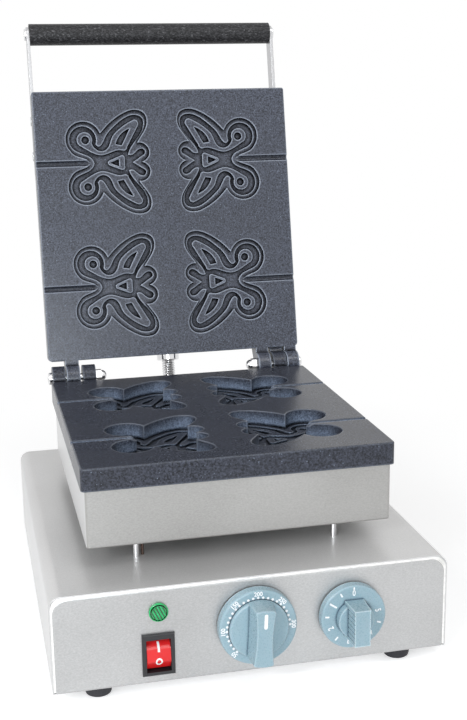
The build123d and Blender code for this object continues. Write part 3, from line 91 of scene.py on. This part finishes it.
def aim(place, yaw, pitch, roll):
    """A camera matrix: yaw turns the view from +Y towards +X, pitch lifts it, roll tips it."""
    forward = Vector((sin(yaw) * cos(pitch), cos(yaw) * cos(pitch), sin(pitch)))
    right = Vector((cos(yaw), -sin(yaw), 0))
    up = right.cross(forward)
    tipped = cos(roll) * right + sin(roll) * up
    raised = cos(roll) * up - sin(roll) * right
    turn = Matrix((tipped, raised, -forward)).transposed()
    return Matrix.Translation(place) @ turn.to_4x4()


camera_data = bpy.data.cameras.new("camera")
camera_data.sensor_fit = "VERTICAL"
camera_data.sensor_height = FILM_HEIGHT_MM
camera_data.lens = LENS_MM
camera_data.clip_end = FARTHEST_SEEN
camera = placed("camera", camera_data)
camera.matrix_world = aim(CAMERA_PLACE, CAMERA_YAW, CAMERA_PITCH, CAMERA_ROLL)
bpy.context.scene.camera = camera
bpy.context.scene.view_settings.view_transform = "Standard"


# Lamps
def lamp(name, place, target, side, watts, colour=(1, 1, 1)):
    """A square soft light that faces a point."""
    data = bpy.data.lights.new(name, "AREA")
    data.size = side
    data.energy = watts
    data.color = colour
    made = placed(name, data)
    made.location = place
    made.rotation_mode = "QUATERNION"
    made.rotation_quaternion = (Vector(target) - Vector(place)).to_track_quat("-Z", "Y")


lamp("key_light", place=(-1.3, -1.5, 1.1), target=(0, 0, 0.15), side=0.7, watts=20,
     colour=(0.97, 0.98, 1.0))
lamp("front_light", place=(-0.22, -1.30, 0.30), target=(0, 0, 0.2), side=0.35, watts=5.0,
     colour=(0.88, 0.95, 1.0))
lamp("left_light", place=(-1.1, 0.0, 0.45), target=(0, 0, 0.2), side=0.5, watts=1.6,
     colour=(0.93, 0.97, 1.0))
lamp("top_light", place=(0.35, -0.85, 1.55), target=(0, 0, 0.1), side=0.7, watts=5)


# Node helpers
def put(tree, kind, inputs=None, **settings):
    """Adds a node. An input is a value, or a socket that is linked to it."""
    made = tree.nodes.new(kind)
    for name, value in settings.items():
        setattr(made, name, value)
    for name, value in (inputs or {}).items():
        if isinstance(value, bpy.types.NodeSocket):
            tree.links.new(value, made.inputs[name])
        else:
            made.inputs[name].default_value = value
    return made


def maths(tree, operation, *values):
    """The result of an operation on one or two values."""
    return put(tree, "ShaderNodeMath", dict(enumerate(values)), operation=operation).outputs[0]


def product(tree, first, *others):
    """The product of values."""
    for other in others:
        first = maths(tree, "MULTIPLY", first, other)
    return first


def spot(tree, stretch=(1, 1, 1)):
    """Places on the piece itself, in metres, stretched along its axes."""
    where = put(tree, "ShaderNodeTexCoord").outputs["Object"]
    return put(tree, "ShaderNodeMapping", {"Vector": where, "Scale": stretch}).outputs["Vector"]


def axis_part(tree, vector, axis):
    """One coordinate of a vector."""
    return put(tree, "ShaderNodeSeparateXYZ", {"Vector": vector}).outputs[axis]


def facing(tree, axis):
    """How far a face looks along an axis, from -1 to 1."""
    return axis_part(tree, put(tree, "ShaderNodeNewGeometry").outputs["Normal"], axis)


def noise(tree, vector, scale, detail=3.0, rough=0.5):
    """Noise from 0 to 1."""
    return put(tree, "ShaderNodeTexNoise", {"Vector": vector, "Scale": scale, "Detail": detail,
                                            "Roughness": rough}).outputs["Fac"]


def spread(tree, value, low, high, low_to=0.0, high_to=1.0):
    """Maps a value's range to another, and keeps it there."""
    return put(tree, "ShaderNodeMapRange", {"Value": value, "From Min": low, "From Max": high,
                                            "To Min": low_to, "To Max": high_to}).outputs["Result"]


def nearness(tree, distance, low, high, most=1.0, outer=False, together=False):
    """How near a corner is, or with outer an outer edge.

    It is most where low or less of the space within the distance is open, and 0 from high on.
    With together, other pieces make corners too.
    """
    space = put(tree, "ShaderNodeAmbientOcclusion", {"Distance": distance}, samples=6,
                inside=outer, only_local=not together).outputs["AO"]
    return spread(tree, space, low, high, most, 0)


def shade(tree, factor, dark, light):
    """A colour between two, by a factor."""
    made = put(tree, "ShaderNodeMix", data_type="RGBA")
    tree.links.new(factor, made.inputs["Factor"])
    for name, colour in (("A", dark), ("B", light)):
        socket = next(s for s in made.inputs if s.name == name and s.type == "RGBA")
        if isinstance(colour, bpy.types.NodeSocket):
            tree.links.new(colour, socket)
        else:
            socket.default_value = (*colour, 1)
    return next(s for s in made.outputs if s.type == "RGBA")


def rounded(tree, radius, samples):
    """A normal that rounds edges off."""
    return put(tree, "ShaderNodeBevel", {"Radius": radius}, samples=samples).outputs["Normal"]


def bump(tree, height, distance, strength=0.5, normal=None):
    """A bumped normal."""
    inputs = {"Height": height, "Distance": distance, "Strength": strength}
    if normal:
        inputs["Normal"] = normal
    return put(tree, "ShaderNodeBump", inputs).outputs["Normal"]


def start(name):
    """A new material and its empty node tree."""
    made = bpy.data.materials.new(name)
    made.use_nodes = True
    made.node_tree.nodes.clear()
    return made, made.node_tree


def close(made, tree, inputs):
    """Ends a material with a principled shader."""
    shader = put(tree, "ShaderNodeBsdfPrincipled", inputs)
    put(tree, "ShaderNodeOutputMaterial", {"Surface": shader.outputs["BSDF"]})
    return made


# Materials
def steel(name, dark, light, roughness, grain=(1, 1, 1), metal=0.86, sides=None):
    """Satin stainless sheet with fine grain and faint clouds.

    Where sides is a colour, faces towards the left and right have it: a painted highlight that makes
    them lighter, for the light that falls on the sides.
    """
    made, tree = start(name)
    fine = noise(tree, spot(tree, grain), scale=1300, rough=0.75)
    both = maths(tree, "ADD", fine, noise(tree, spot(tree), scale=6))
    colour = shade(tree, spread(tree, both, 0.75, 1.25), dark, light)
    # Painted highlight: faces that look to the left or right are made lighter.
    if sides:
        across = maths(tree, "ABSOLUTE", facing(tree, "X"))
        colour = shade(tree, spread(tree, across, 0.80, 0.97), colour, sides)
    change = 0.06
    rough = spread(tree, both, 0.7, 1.3, roughness - change, roughness + change)
    normal = bump(tree, fine, distance=0.00004, normal=rounded(tree, radius=0.0008, samples=4))
    return close(made, tree, {"Base Color": colour, "Metallic": metal, "Roughness": rough,
                              "Normal": normal})


def specks(tree, place):
    """1 on a few small specks, 0 between them."""
    cells = put(tree, "ShaderNodeTexVoronoi", {"Vector": place, "Scale": 620, "Randomness": 1.0})
    speck = spread(tree, cells.outputs["Distance"], 0.10, 0.26, 1, 0)
    chosen = spread(tree, axis_part(tree, cells.outputs["Color"], "X"), 0.88, 0.92)
    return product(tree, speck, chosen)


def mould_walls(tree, place):
    """1 on the front-facing walls inside the lower plate's moulds, 0 elsewhere: where the coating
    gets a painted highlight for the light that falls on those walls.
    """
    rim_start, rim_end = 0.1485, 0.1493
    hinge_start, hinge_end = 0.082, 0.084
    forward = spread(tree, facing(tree, "Y"), -0.75, -0.25, 1, 0)
    enclosed = nearness(tree, distance=0.012, low=0.72, high=0.93)
    below_rim = spread(tree, axis_part(tree, place, "Z"), rim_start, rim_end, 1, 0)
    before_hinge = spread(tree, axis_part(tree, place, "Y"), hinge_start, hinge_end, 1, 0)
    return product(tree, forward, enclosed, below_rim, before_hinge)


def coating(name, dark, light, edge_highlight, fade, shine):
    """Cast plate under a dark coating: grainy, specked, with a painted highlight on its edges and
    painted shade that turns its corners black.

    Fade is how far the painted shade reaches out of a corner.
    """
    made, tree = start(name)
    place = spot(tree)
    patches = noise(tree, place, scale=14, detail=4, rough=0.6)
    grit = noise(tree, place, scale=860, rough=0.75)
    grain = spread(tree, grit, 0.38, 0.66)
    base = shade(tree, grain, dark, light)
    base = shade(tree, spread(tree, patches, 0.35, 0.75, 0, 0.35), base, (0.045, 0.047, 0.056))
    base = shade(tree, specks(tree, place), base, (0.30, 0.36, 0.46))
    # Painted highlight: outer edges are made pale, as rounded rims catching the light.
    edge = nearness(tree, distance=0.0013, low=0.55, high=0.95, most=0.9, outer=True)
    base = shade(tree, edge, base, edge_highlight)
    # Painted highlight: the lower moulds' front-facing walls are made light and bluish.
    wall_highlight = shade(tree, grain, (0.10, 0.13, 0.19), (0.30, 0.38, 0.52))
    base = shade(tree, mould_walls(tree, place), base, wall_highlight)
    # Painted shade: corners and the feet of walls turn black, and Metallic there takes their
    # reflection away too.
    corner = nearness(tree, distance=fade, low=0.63, high=0.97)
    base = shade(tree, corner, base, (0.001, 0.001, 0.001))
    normal = bump(tree, grit, distance=0.00008, normal=rounded(tree, radius=0.0014, samples=8))
    return close(made, tree, {"Base Color": base, "Metallic": corner,
                              "Roughness": spread(tree, patches, 0.3, 0.7, 0.24, 0.31),
                              "Specular IOR Level": shine, "Normal": normal})


def plastic(name, dark, light, roughness, grain=0.00002, scale=700, subsurface=0.0):
    """Moulded plastic with a faint skin texture."""
    made, tree = start(name)
    place = spot(tree)
    clouds = noise(tree, place, scale=40)
    skin = noise(tree, place, scale, rough=0.6)
    change = 0.05
    rough = spread(tree, skin, 0.3, 0.7, roughness - change, roughness + change)
    inputs = {"Base Color": shade(tree, spread(tree, clouds, 0.3, 0.7), dark, light),
              "Roughness": rough, "Normal": bump(tree, skin, grain)}
    if subsurface:
        inputs["Subsurface Weight"] = subsurface
        inputs["Subsurface Scale"] = 0.002
    return close(made, tree, inputs)


def knob_skin(name):
    """Pale blue plastic, with a painted highlight along its edges and painted shade where two parts
    meet.
    """
    made, tree = start(name)
    place = spot(tree)
    clouds = noise(tree, place, scale=40)
    skin = noise(tree, place, scale=900, rough=0.6)
    colour = shade(tree, spread(tree, clouds, 0.3, 0.7), (0.27, 0.395, 0.455), (0.31, 0.44, 0.50))
    # Painted highlight: edges are made pale.
    edge = nearness(tree, distance=0.0009, low=0.50, high=0.95, most=0.85, outer=True)
    colour = shade(tree, edge, colour, (0.66, 0.80, 0.84))
    # Painted shade: where two parts meet is made dark.
    gap_shade = nearness(tree, distance=0.0018, low=0.50, high=0.92, most=0.9, together=True)
    colour = shade(tree, gap_shade, colour, (0.02, 0.05, 0.09))
    return close(made, tree, {"Base Color": colour,
                              "Roughness": spread(tree, skin, 0.3, 0.7, 0.24, 0.34),
                              "Subsurface Weight": 0.05, "Subsurface Scale": 0.002,
                              "Normal": bump(tree, skin, distance=0.00003)})


def grip_skin(name):
    """Rough black handle plastic with pale scuffs along it."""
    made, tree = start(name)
    place = spot(tree, (0.5, 1, 1))
    skin = noise(tree, place, scale=1000, rough=0.75)
    colour = shade(tree, spread(tree, skin, 0.46, 0.66), (0.004, 0.004, 0.005),
                   (0.060, 0.060, 0.066))
    scuffs = spread(tree, noise(tree, place, scale=760, detail=2), 0.60, 0.70, 0, 0.7)
    return close(made, tree, {"Base Color": shade(tree, scuffs, colour, (0.16, 0.16, 0.17)),
                              "Roughness": spread(tree, skin, 0.3, 0.7, 0.55, 0.42),
                              "Specular IOR Level": 0.35,
                              "Normal": bump(tree, skin, distance=0.0003)})


def plated(name, colour, roughness, stain=None):
    """Bright or plated metal with faint marks."""
    made, tree = start(name)
    place = spot(tree)
    marks = noise(tree, place, scale=260, detail=4, rough=0.6)
    dark_share = 0.86
    dark = tuple(part * dark_share for part in colour)
    tone = shade(tree, spread(tree, marks, 0.35, 0.65), dark, colour)
    if stain:
        stains = spread(tree, noise(tree, place, scale=30), 0.45, 0.7)
        tone = shade(tree, stains, tone, stain)
    rough = spread(tree, marks, 0.3, 0.7, roughness * 0.8, roughness * 1.3)
    return close(made, tree, {"Base Color": tone, "Metallic": 1.0, "Roughness": rough})


def wool(name):
    """Mineral wool."""
    made, tree = start(name)
    fibre = noise(tree, spot(tree, (1, 1, 3)), scale=500, detail=6, rough=0.8)
    colour = shade(tree, spread(tree, fibre, 0.3, 0.7), (0.55, 0.53, 0.47), (0.86, 0.84, 0.78))
    return close(made, tree, {"Base Color": colour, "Roughness": 0.95,
                              "Normal": bump(tree, fibre, distance=0.0006, strength=1.0)})


def lens_plastic(name):
    """Clear green plastic, with painted shade in the gap round the lens."""
    made, tree = start(name)
    clouds = noise(tree, spot(tree), scale=300, detail=2)
    colour = shade(tree, spread(tree, clouds, 0.3, 0.7), (0.001, 0.34, 0.085), (0.003, 0.50, 0.15))
    # Painted shade: the narrow gap between lens and ring turns near black.
    gap_shade = nearness(tree, distance=0.0014, low=0.50, high=0.90, together=True)
    colour = shade(tree, gap_shade, colour, (0.001, 0.020, 0.008))
    return close(made, tree, {"Base Color": colour, "Roughness": 0.14,
                              "Coat Weight": 0.5, "Coat Roughness": 0.05,
                              "Subsurface Weight": 0.3, "Subsurface Scale": 0.003})


def paint(name):
    """White printing ink."""
    made, tree = start(name)
    grain = noise(tree, spot(tree), scale=900)
    colour = shade(tree, spread(tree, grain, 0.3, 0.7), (0.82, 0.84, 0.85), (0.93, 0.94, 0.95))
    return close(made, tree, {"Base Color": colour, "Roughness": 0.45})


materials = {
    "steel_cover": steel("steel_cover", (0.57, 0.565, 0.56), (0.70, 0.695, 0.69),
                         roughness=0.36, metal=0.40),
    "steel_panel": steel("steel_panel", (0.40, 0.40, 0.40), (0.56, 0.56, 0.56),
                         roughness=0.40, grain=(0.5, 1, 1)),
    # The casing's lighter sides are a painted highlight.
    "steel_casing": steel("steel_casing", (0.34, 0.335, 0.325), (0.46, 0.455, 0.445),
                          roughness=0.40, grain=(0.5, 1, 1), sides=(0.66, 0.66, 0.66)),
    "steel_plain": steel("steel_plain", (0.50, 0.50, 0.51), (0.60, 0.60, 0.61),
                         roughness=0.38),
    "plate_coating": coating("plate_coating", (0.006, 0.007, 0.010), (0.078, 0.087, 0.120),
                             edge_highlight=(0.15, 0.17, 0.21), fade=0.0024, shine=0.32),
    "element_sheath": plated("element_sheath", (0.30, 0.28, 0.25), roughness=0.5,
                             stain=(0.14, 0.11, 0.09)),
    "insulation": wool("insulation"),
    "bright_metal": plated("bright_metal", (0.80, 0.80, 0.81), roughness=0.12),
    "zinc_screws": plated("zinc_screws", (0.62, 0.63, 0.64), roughness=0.28,
                          stain=(0.50, 0.50, 0.50)),
    "copper_bulb": plated("copper_bulb", (0.16, 0.11, 0.09), roughness=0.4,
                          stain=(0.07, 0.05, 0.045)),
    "knob_plastic": knob_skin("knob_plastic"),
    "black_plastic": plastic("black_plastic", (0.012, 0.012, 0.014), (0.020, 0.020, 0.023),
                             roughness=0.38),
    "rocker_plastic": plastic("rocker_plastic", (0.66, 0.012, 0.014), (0.76, 0.022, 0.024),
                              roughness=0.22, subsurface=0.2),
    "lamp_plastic": lens_plastic("lamp_plastic"),
    "grey_plastic": plastic("grey_plastic", (0.58, 0.58, 0.55), (0.66, 0.66, 0.63), roughness=0.5),
    "foot_rubber": plastic("foot_rubber", (0.014, 0.014, 0.018), (0.030, 0.030, 0.036),
                           roughness=0.65, grain=0.0001, scale=500),
    "handle_plastic": grip_skin("handle_plastic"),
    "conduit_metal": plated("conduit_metal", (0.74, 0.74, 0.75), roughness=0.2),
}
# A very bright metal for the bead: a painted highlight along the panel's fold.
fold_highlight = plated("fold_highlight", (0.97, 0.965, 0.95), roughness=0.34)
white_print = paint("white_print")

for part in frame["record"]["subparts"]:
    looks = nodes[part["node"]].data.materials
    looks.clear()
    looks.append(materials[part["material_slot"]])

# The upper plate gets a lighter copy of the coating, with brighter painted highlights on its edges
# and wider painted shade in its corners: the lighter tone is painted light for the light that falls
# on the lid's face.
nodes["upper_plate"].data.materials[0] = coating(
    "plate_coating_upper_lit", (0.010, 0.012, 0.018), (0.128, 0.145, 0.196),
    edge_highlight=(0.42, 0.47, 0.57), fade=0.0034, shine=0.5)


# Mesh helpers
def piece(name, mesh, material, body=None):
    """A finished mesh as a piece, which rides on a body if one is named."""
    mesh.materials.clear()
    mesh.materials.append(material)
    made = placed(name, mesh)
    if body:
        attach(made, body)
    return made


def meshed(name, shape):
    """A mesh of a bmesh, which is then freed."""
    made = bpy.data.meshes.new(name)
    shape.to_mesh(made)
    shape.free()
    return made


def baked(name, data):
    """The mesh of curve or text data."""
    thing = placed(name, data)
    bpy.context.view_layer.update()
    graph = bpy.context.evaluated_depsgraph_get()
    mesh = bpy.data.meshes.new_from_object(thing.evaluated_get(graph))
    mesh.name = name
    bpy.data.objects.remove(thing)
    return mesh


def join(name, meshes):
    """One mesh of several."""
    made = bmesh.new()
    for mesh in meshes:
        made.from_mesh(mesh)
    return meshed(name, made)


def open_curve(name, kind, points):
    """Curve data with one open spline, and that spline."""
    data = bpy.data.curves.new(name, "CURVE")
    data.dimensions = "3D"
    spline = data.splines.new(kind)
    spline.points.add(len(points) - 1)
    for point, at in zip(spline.points, points):
        point.co = (*at, 1)
    return data, spline


# Prints: INK is how far one stands out of its face, and as far again is sunk into it
INK = 0.00006
LETTER_HEIGHT_SHARE = 0.7
MARK_CORNER = 0.0003
CORNER_STEPS = 3
MERGED = 1e-7


def on_front(middle, radius=0.0, angle=0.0):
    """Stands a flat print on a dial: turned clockwise by degrees, its top outwards."""
    face = Matrix(((1, 0, 0), (0, 0, -1), (0, 1, 0))).to_4x4()
    return (Matrix.Translation(middle) @ face @ Matrix.Rotation(radians(-angle), 4, "Z")
            @ Matrix.Translation((0, radius, 0)))


def word(text, height, place, stretch, weight):
    """A printed number or letter, centred on its place, its lines widened by a weight."""
    curve = bpy.data.curves.new(text, "FONT")
    curve.body = text
    curve.size = height / LETTER_HEIGHT_SHARE
    curve.align_x = "CENTER"
    curve.align_y = "CENTER"
    curve.extrude = INK
    curve.offset = weight
    curve.resolution_u = 3
    mesh = baked(text, curve)
    mesh.transform(place @ Matrix.Diagonal((stretch, 1, 1, 1)))
    return mesh


def mark(width, height, place, corner=MARK_CORNER):
    """A printed mark with round corners, whose radius is at most half its width."""
    flat = bmesh.new()
    outline = []
    for turn, (x_side, y_side) in enumerate(((1, 1), (-1, 1), (-1, -1), (1, -1))):
        for step in range(CORNER_STEPS + 1):
            angle = (turn + step / CORNER_STEPS) * pi / 2
            x = x_side * (width / 2 - corner) + corner * cos(angle)
            y = y_side * (height / 2 - corner) + corner * sin(angle)
            outline.append(flat.verts.new((x, y, -INK)))
    face = flat.faces.new(outline)
    raised = bmesh.ops.extrude_face_region(flat, geom=[face])["geom"]
    raised_points = [part for part in raised if isinstance(part, bmesh.types.BMVert)]
    bmesh.ops.translate(flat, vec=(0, 0, 2 * INK), verts=raised_points)
    bmesh.ops.remove_doubles(flat, verts=flat.verts, dist=MERGED)
    bmesh.ops.recalc_face_normals(flat, faces=flat.faces)
    mesh = meshed("mark", flat)
    mesh.transform(place)
    return mesh


def thermostat_numbers():
    """The ring's numbers, one for each 50 degrees of heat, and the dots inside them."""
    face = Vector((DIAL_MIDDLE.x, DIAL[0].y, DIAL_MIDDLE.z))
    turns = {"50": -136, "100": -91, "150": -42, "200": 0, "250": 43, "300": 90}
    number_height, number_radius = 0.0029, 0.0239
    prints = [word(text, number_height, on_front(face, number_radius, turn), stretch=0.95,
                   weight=0.00014)
              for text, turn in turns.items()]
    dot_size, dot_radius, dot_count, dot_turn = 0.0018, 0.0215, 26, 9.04
    for index in range(dot_count):
        place = on_front(face, dot_radius, turns["50"] + dot_turn * index)
        prints.append(mark(dot_size, dot_size, place, corner=dot_size / 2))
    return join("thermostat_numbers", prints)


def thermostat_pointer():
    """The line on the thermostat's bar."""
    face = Vector((DIAL_MIDDLE.x, KNOB[0].y, DIAL_MIDDLE.z))
    return mark(width=0.0024, height=0.0104, place=on_front(face, radius=0.0125, angle=3),
                corner=0.0010)


def timer_numbers():
    """The timer's 0 to 5, a bar for its 1, a dash at each half, and a tick outside the 0."""
    skirt_depth, number_turn, last = 0.0075, -56, 5
    face = Vector((TIMER_MIDDLE.x, FRONT - skirt_depth, TIMER_MIDDLE.z))
    number_height, number_radius, bar_radius, dash_radius, tick_radius = (
        0.0040, 0.0172, 0.0175, 0.0188, 0.0204)
    prints = [word(str(number), number_height, on_front(face, number_radius, number_turn * number),
                   stretch=0.8, weight=0.00016)
              for number in range(last + 1) if number != 1]
    prints.append(mark(width=0.0013, height=0.0060, place=on_front(face, bar_radius, number_turn)))
    for number in range(last):
        place = on_front(face, dash_radius, number_turn * (number + 0.5))
        prints.append(mark(width=0.0012, height=0.0030, place=place))
    prints.append(mark(width=0.0011, height=0.0024, place=on_front(face, tick_radius)))
    return join("timer_numbers", prints)


def laid(mesh, owner):
    """A flat print from the front, moved back onto the face of a CAD node that rays meet."""
    slice_height, clearance = 0.0004, 0.05
    fine = bmesh.new()
    fine.from_mesh(mesh)
    low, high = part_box(owner.name)
    level = low.z
    while level < high.z:
        bmesh.ops.bisect_plane(fine, geom=fine.verts[:] + fine.edges[:] + fine.faces[:],
                               plane_co=(0, 0, level), plane_no=(0, 0, 1))
        level += slice_height
    fine.to_mesh(mesh)
    fine.free()
    inward = owner.matrix_world.inverted()
    ahead = inward.to_3x3() @ Vector((0, 1, 0))
    for vertex in mesh.vertices:
        origin = inward @ Vector((vertex.co.x, FRONT - clearance, vertex.co.z))
        met, at, _, _ = owner.ray_cast(origin, ahead)
        if not met:
            raise RuntimeError("a print lies beside its face")
        vertex.co.y += (owner.matrix_world @ at).y
    return mesh


def rocker_marks():
    """The O and the I on the rocker's curved face."""
    ring_height, line_height = 0.0240, 0.0340
    ring = word("O", height=0.0052, place=on_front((ROCKER_MIDDLE.x, 0, ring_height)),
                stretch=0.80, weight=0.00026)
    line = mark(width=0.0015, height=0.0056, place=on_front((ROCKER_MIDDLE.x, 0, line_height)))
    return laid(join("rocker_marks", [ring, line]), nodes["switch_rocker"])


piece("thermostat_numbers", thermostat_numbers(), white_print, "base")
piece("thermostat_pointer", thermostat_pointer(), white_print, "temperature_knob")
piece("timer_numbers", timer_numbers(), white_print, "timer_dial")
piece("rocker_marks", rocker_marks(), white_print, "power_rocker")


# A bright bead round the front panel's fold: a painted highlight along the bend, which also covers
# the dark gap between cover and panel
def panel_strand(inset, corner):
    """A thin bright bead along the panel's sides and top, with its round corners: part of the painted
    highlight on the fold.
    """
    behind_front, above_foot, thickness, steps = 0.0007, 0.002, 0.001, 8
    low, high = PANEL
    left, right, top = low.x + inset, high.x - inset, high.z - inset
    y = FRONT + behind_front
    path = [(left, y, low.z + above_foot)]
    for middle_x, first in ((left + corner, pi), (right - corner, pi / 2)):
        for step in range(steps + 1):
            angle = first - step * pi / 2 / steps
            path.append((middle_x + corner * cos(angle), y, top - corner + corner * sin(angle)))
    path.append((right, y, low.z + above_foot))
    data, _ = open_curve("panel_strand", "POLY", path)
    data.bevel_depth = thickness / 2
    data.bevel_resolution = 3
    data.use_fill_caps = True
    return baked("panel_strand", data)


strands = [panel_strand(inset, corner)
           for inset, corner in ((0.0001, 0.0076), (0.0004, 0.0090), (0.0008, 0.0103))]
piece("panel_edge", join("panel_edge", strands), fold_highlight, "base")


# The conduit: a ribbed tube along one smooth line from the lid's gland to the housing's
def ribbed_tube(name, points, radius, pitch, depth, sides=40, steps=8):
    """A corrugated tube along points: rings of vertices whose radius waves along it."""
    lengths = [0.0]
    for a, b in zip(points, points[1:]):
        lengths.append(lengths[-1] + (b - a).length)
    total = lengths[-1]
    count = round(total / pitch) * steps
    side = Vector((1, 0, 0))
    made = bmesh.new()
    rings = []
    for index in range(count + 1):
        at = total * index / count
        span = min(max(i for i, s in enumerate(lengths) if s <= at), len(points) - 2)
        share = (at - lengths[span]) / (lengths[span + 1] - lengths[span])
        middle = points[span].lerp(points[span + 1], share)
        ahead = (points[span + 1] - points[span]).normalized()
        if 0 < span < len(points) - 2:
            before = (points[span] - points[span - 1]).normalized()
            after = (points[span + 2] - points[span + 1]).normalized()
            ahead = (before.lerp(ahead, 0.5) if share < 0.5 else ahead.lerp(after, 0.5)).normalized()
        other = ahead.cross(side).normalized()
        reach = radius - depth * (1 - sqrt(abs(sin(pi * index / steps))))
        rings.append([made.verts.new(middle + reach * (cos(tau * k / sides) * side
                                                       + sin(tau * k / sides) * other))
                      for k in range(sides)])
    for low, high in zip(rings, rings[1:]):
        for k in range(sides):
            made.faces.new((low[k], low[(k + 1) % sides], high[(k + 1) % sides], high[k]))
    made.faces.new(reversed(rings[0]))
    made.faces.new(rings[-1])
    bmesh.ops.recalc_face_normals(made, faces=made.faces)
    mesh = meshed(name, made)
    mesh.shade_smooth()
    return mesh


route = [(0, 0.14308, 0.14788), (0, 0.13899, 0.12779), (0, 0.11652, 0.1072), (0, 0.11652, 0.0867)]
line_data, line_spline = open_curve("conduit_line", "NURBS", route)
line_spline.order_u = 3
line_spline.use_endpoint_u = True
line_spline.resolution_u = 40
line_points = [vertex.co.copy() for vertex in baked("conduit_line", line_data).vertices]
conduit_mesh = ribbed_tube("conduit", line_points, radius=0.0057, pitch=0.0022, depth=0.0007)
conduit = piece("conduit", conduit_mesh, materials["conduit_metal"])
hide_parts("conduit_hose")
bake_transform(conduit)

# Floor and world: bright to the eye, metal and glass, and dimmer as light on the object
WHITE = (1, 1, 1, 1)
FLOOR_COLOUR = (0.85, 0.85, 0.85, 1)
FLOOR_SIZE = 12


def strength(tree, lighting, looking):
    """A strength for light on the object, and one for what the eye, metal and glass see."""
    path = put(tree, "ShaderNodeLightPath").outputs
    looked_at = maths(tree, "MAXIMUM", path["Is Camera Ray"], path["Is Glossy Ray"])
    looked_at = maths(tree, "MAXIMUM", looked_at, path["Is Transmission Ray"])
    return spread(tree, looked_at, 0, 1, lighting, looking)


def glow(tree, kind, lighting, looking):
    """The output of a node that gives white light, with its two strengths."""
    return put(tree, kind, {"Color": WHITE, "Strength": strength(tree, lighting, looking)}).outputs[0]


def floor_paint():
    """A matte floor near the object that fades to plain white away from it."""
    made, tree = start("floor")
    matte = put(tree, "ShaderNodeBsdfDiffuse", {"Color": FLOOR_COLOUR}).outputs[0]
    faint = glow(tree, "ShaderNodeEmission", lighting=0, looking=0.45)
    near = put(tree, "ShaderNodeAddShader", {0: matte, 1: faint}).outputs[0]
    away = put(tree, "ShaderNodeVectorMath", {0: spot(tree)}, operation="LENGTH").outputs["Value"]
    plain = glow(tree, "ShaderNodeEmission", lighting=0.5, looking=1.0)
    fade_start, fade_end = 0.24, 0.55
    fade = put(tree, "ShaderNodeMixShader", {0: spread(tree, away, fade_start, fade_end), 1: near,
                                             2: plain})
    put(tree, "ShaderNodeOutputMaterial", {"Surface": fade.outputs[0]})
    return made


floor_shape = bmesh.new()
bmesh.ops.create_grid(floor_shape, x_segments=2, y_segments=2, size=FLOOR_SIZE)
floor = placed("floor", meshed("floor", floor_shape))
floor.data.materials.append(floor_paint())

world = bpy.data.worlds.new("world")
world.use_nodes = True
world.node_tree.nodes.clear()
sky = glow(world.node_tree, "ShaderNodeBackground", lighting=0.42, looking=1.0)
put(world.node_tree, "ShaderNodeOutputWorld", {"Surface": sky})
bpy.context.scene.world = world
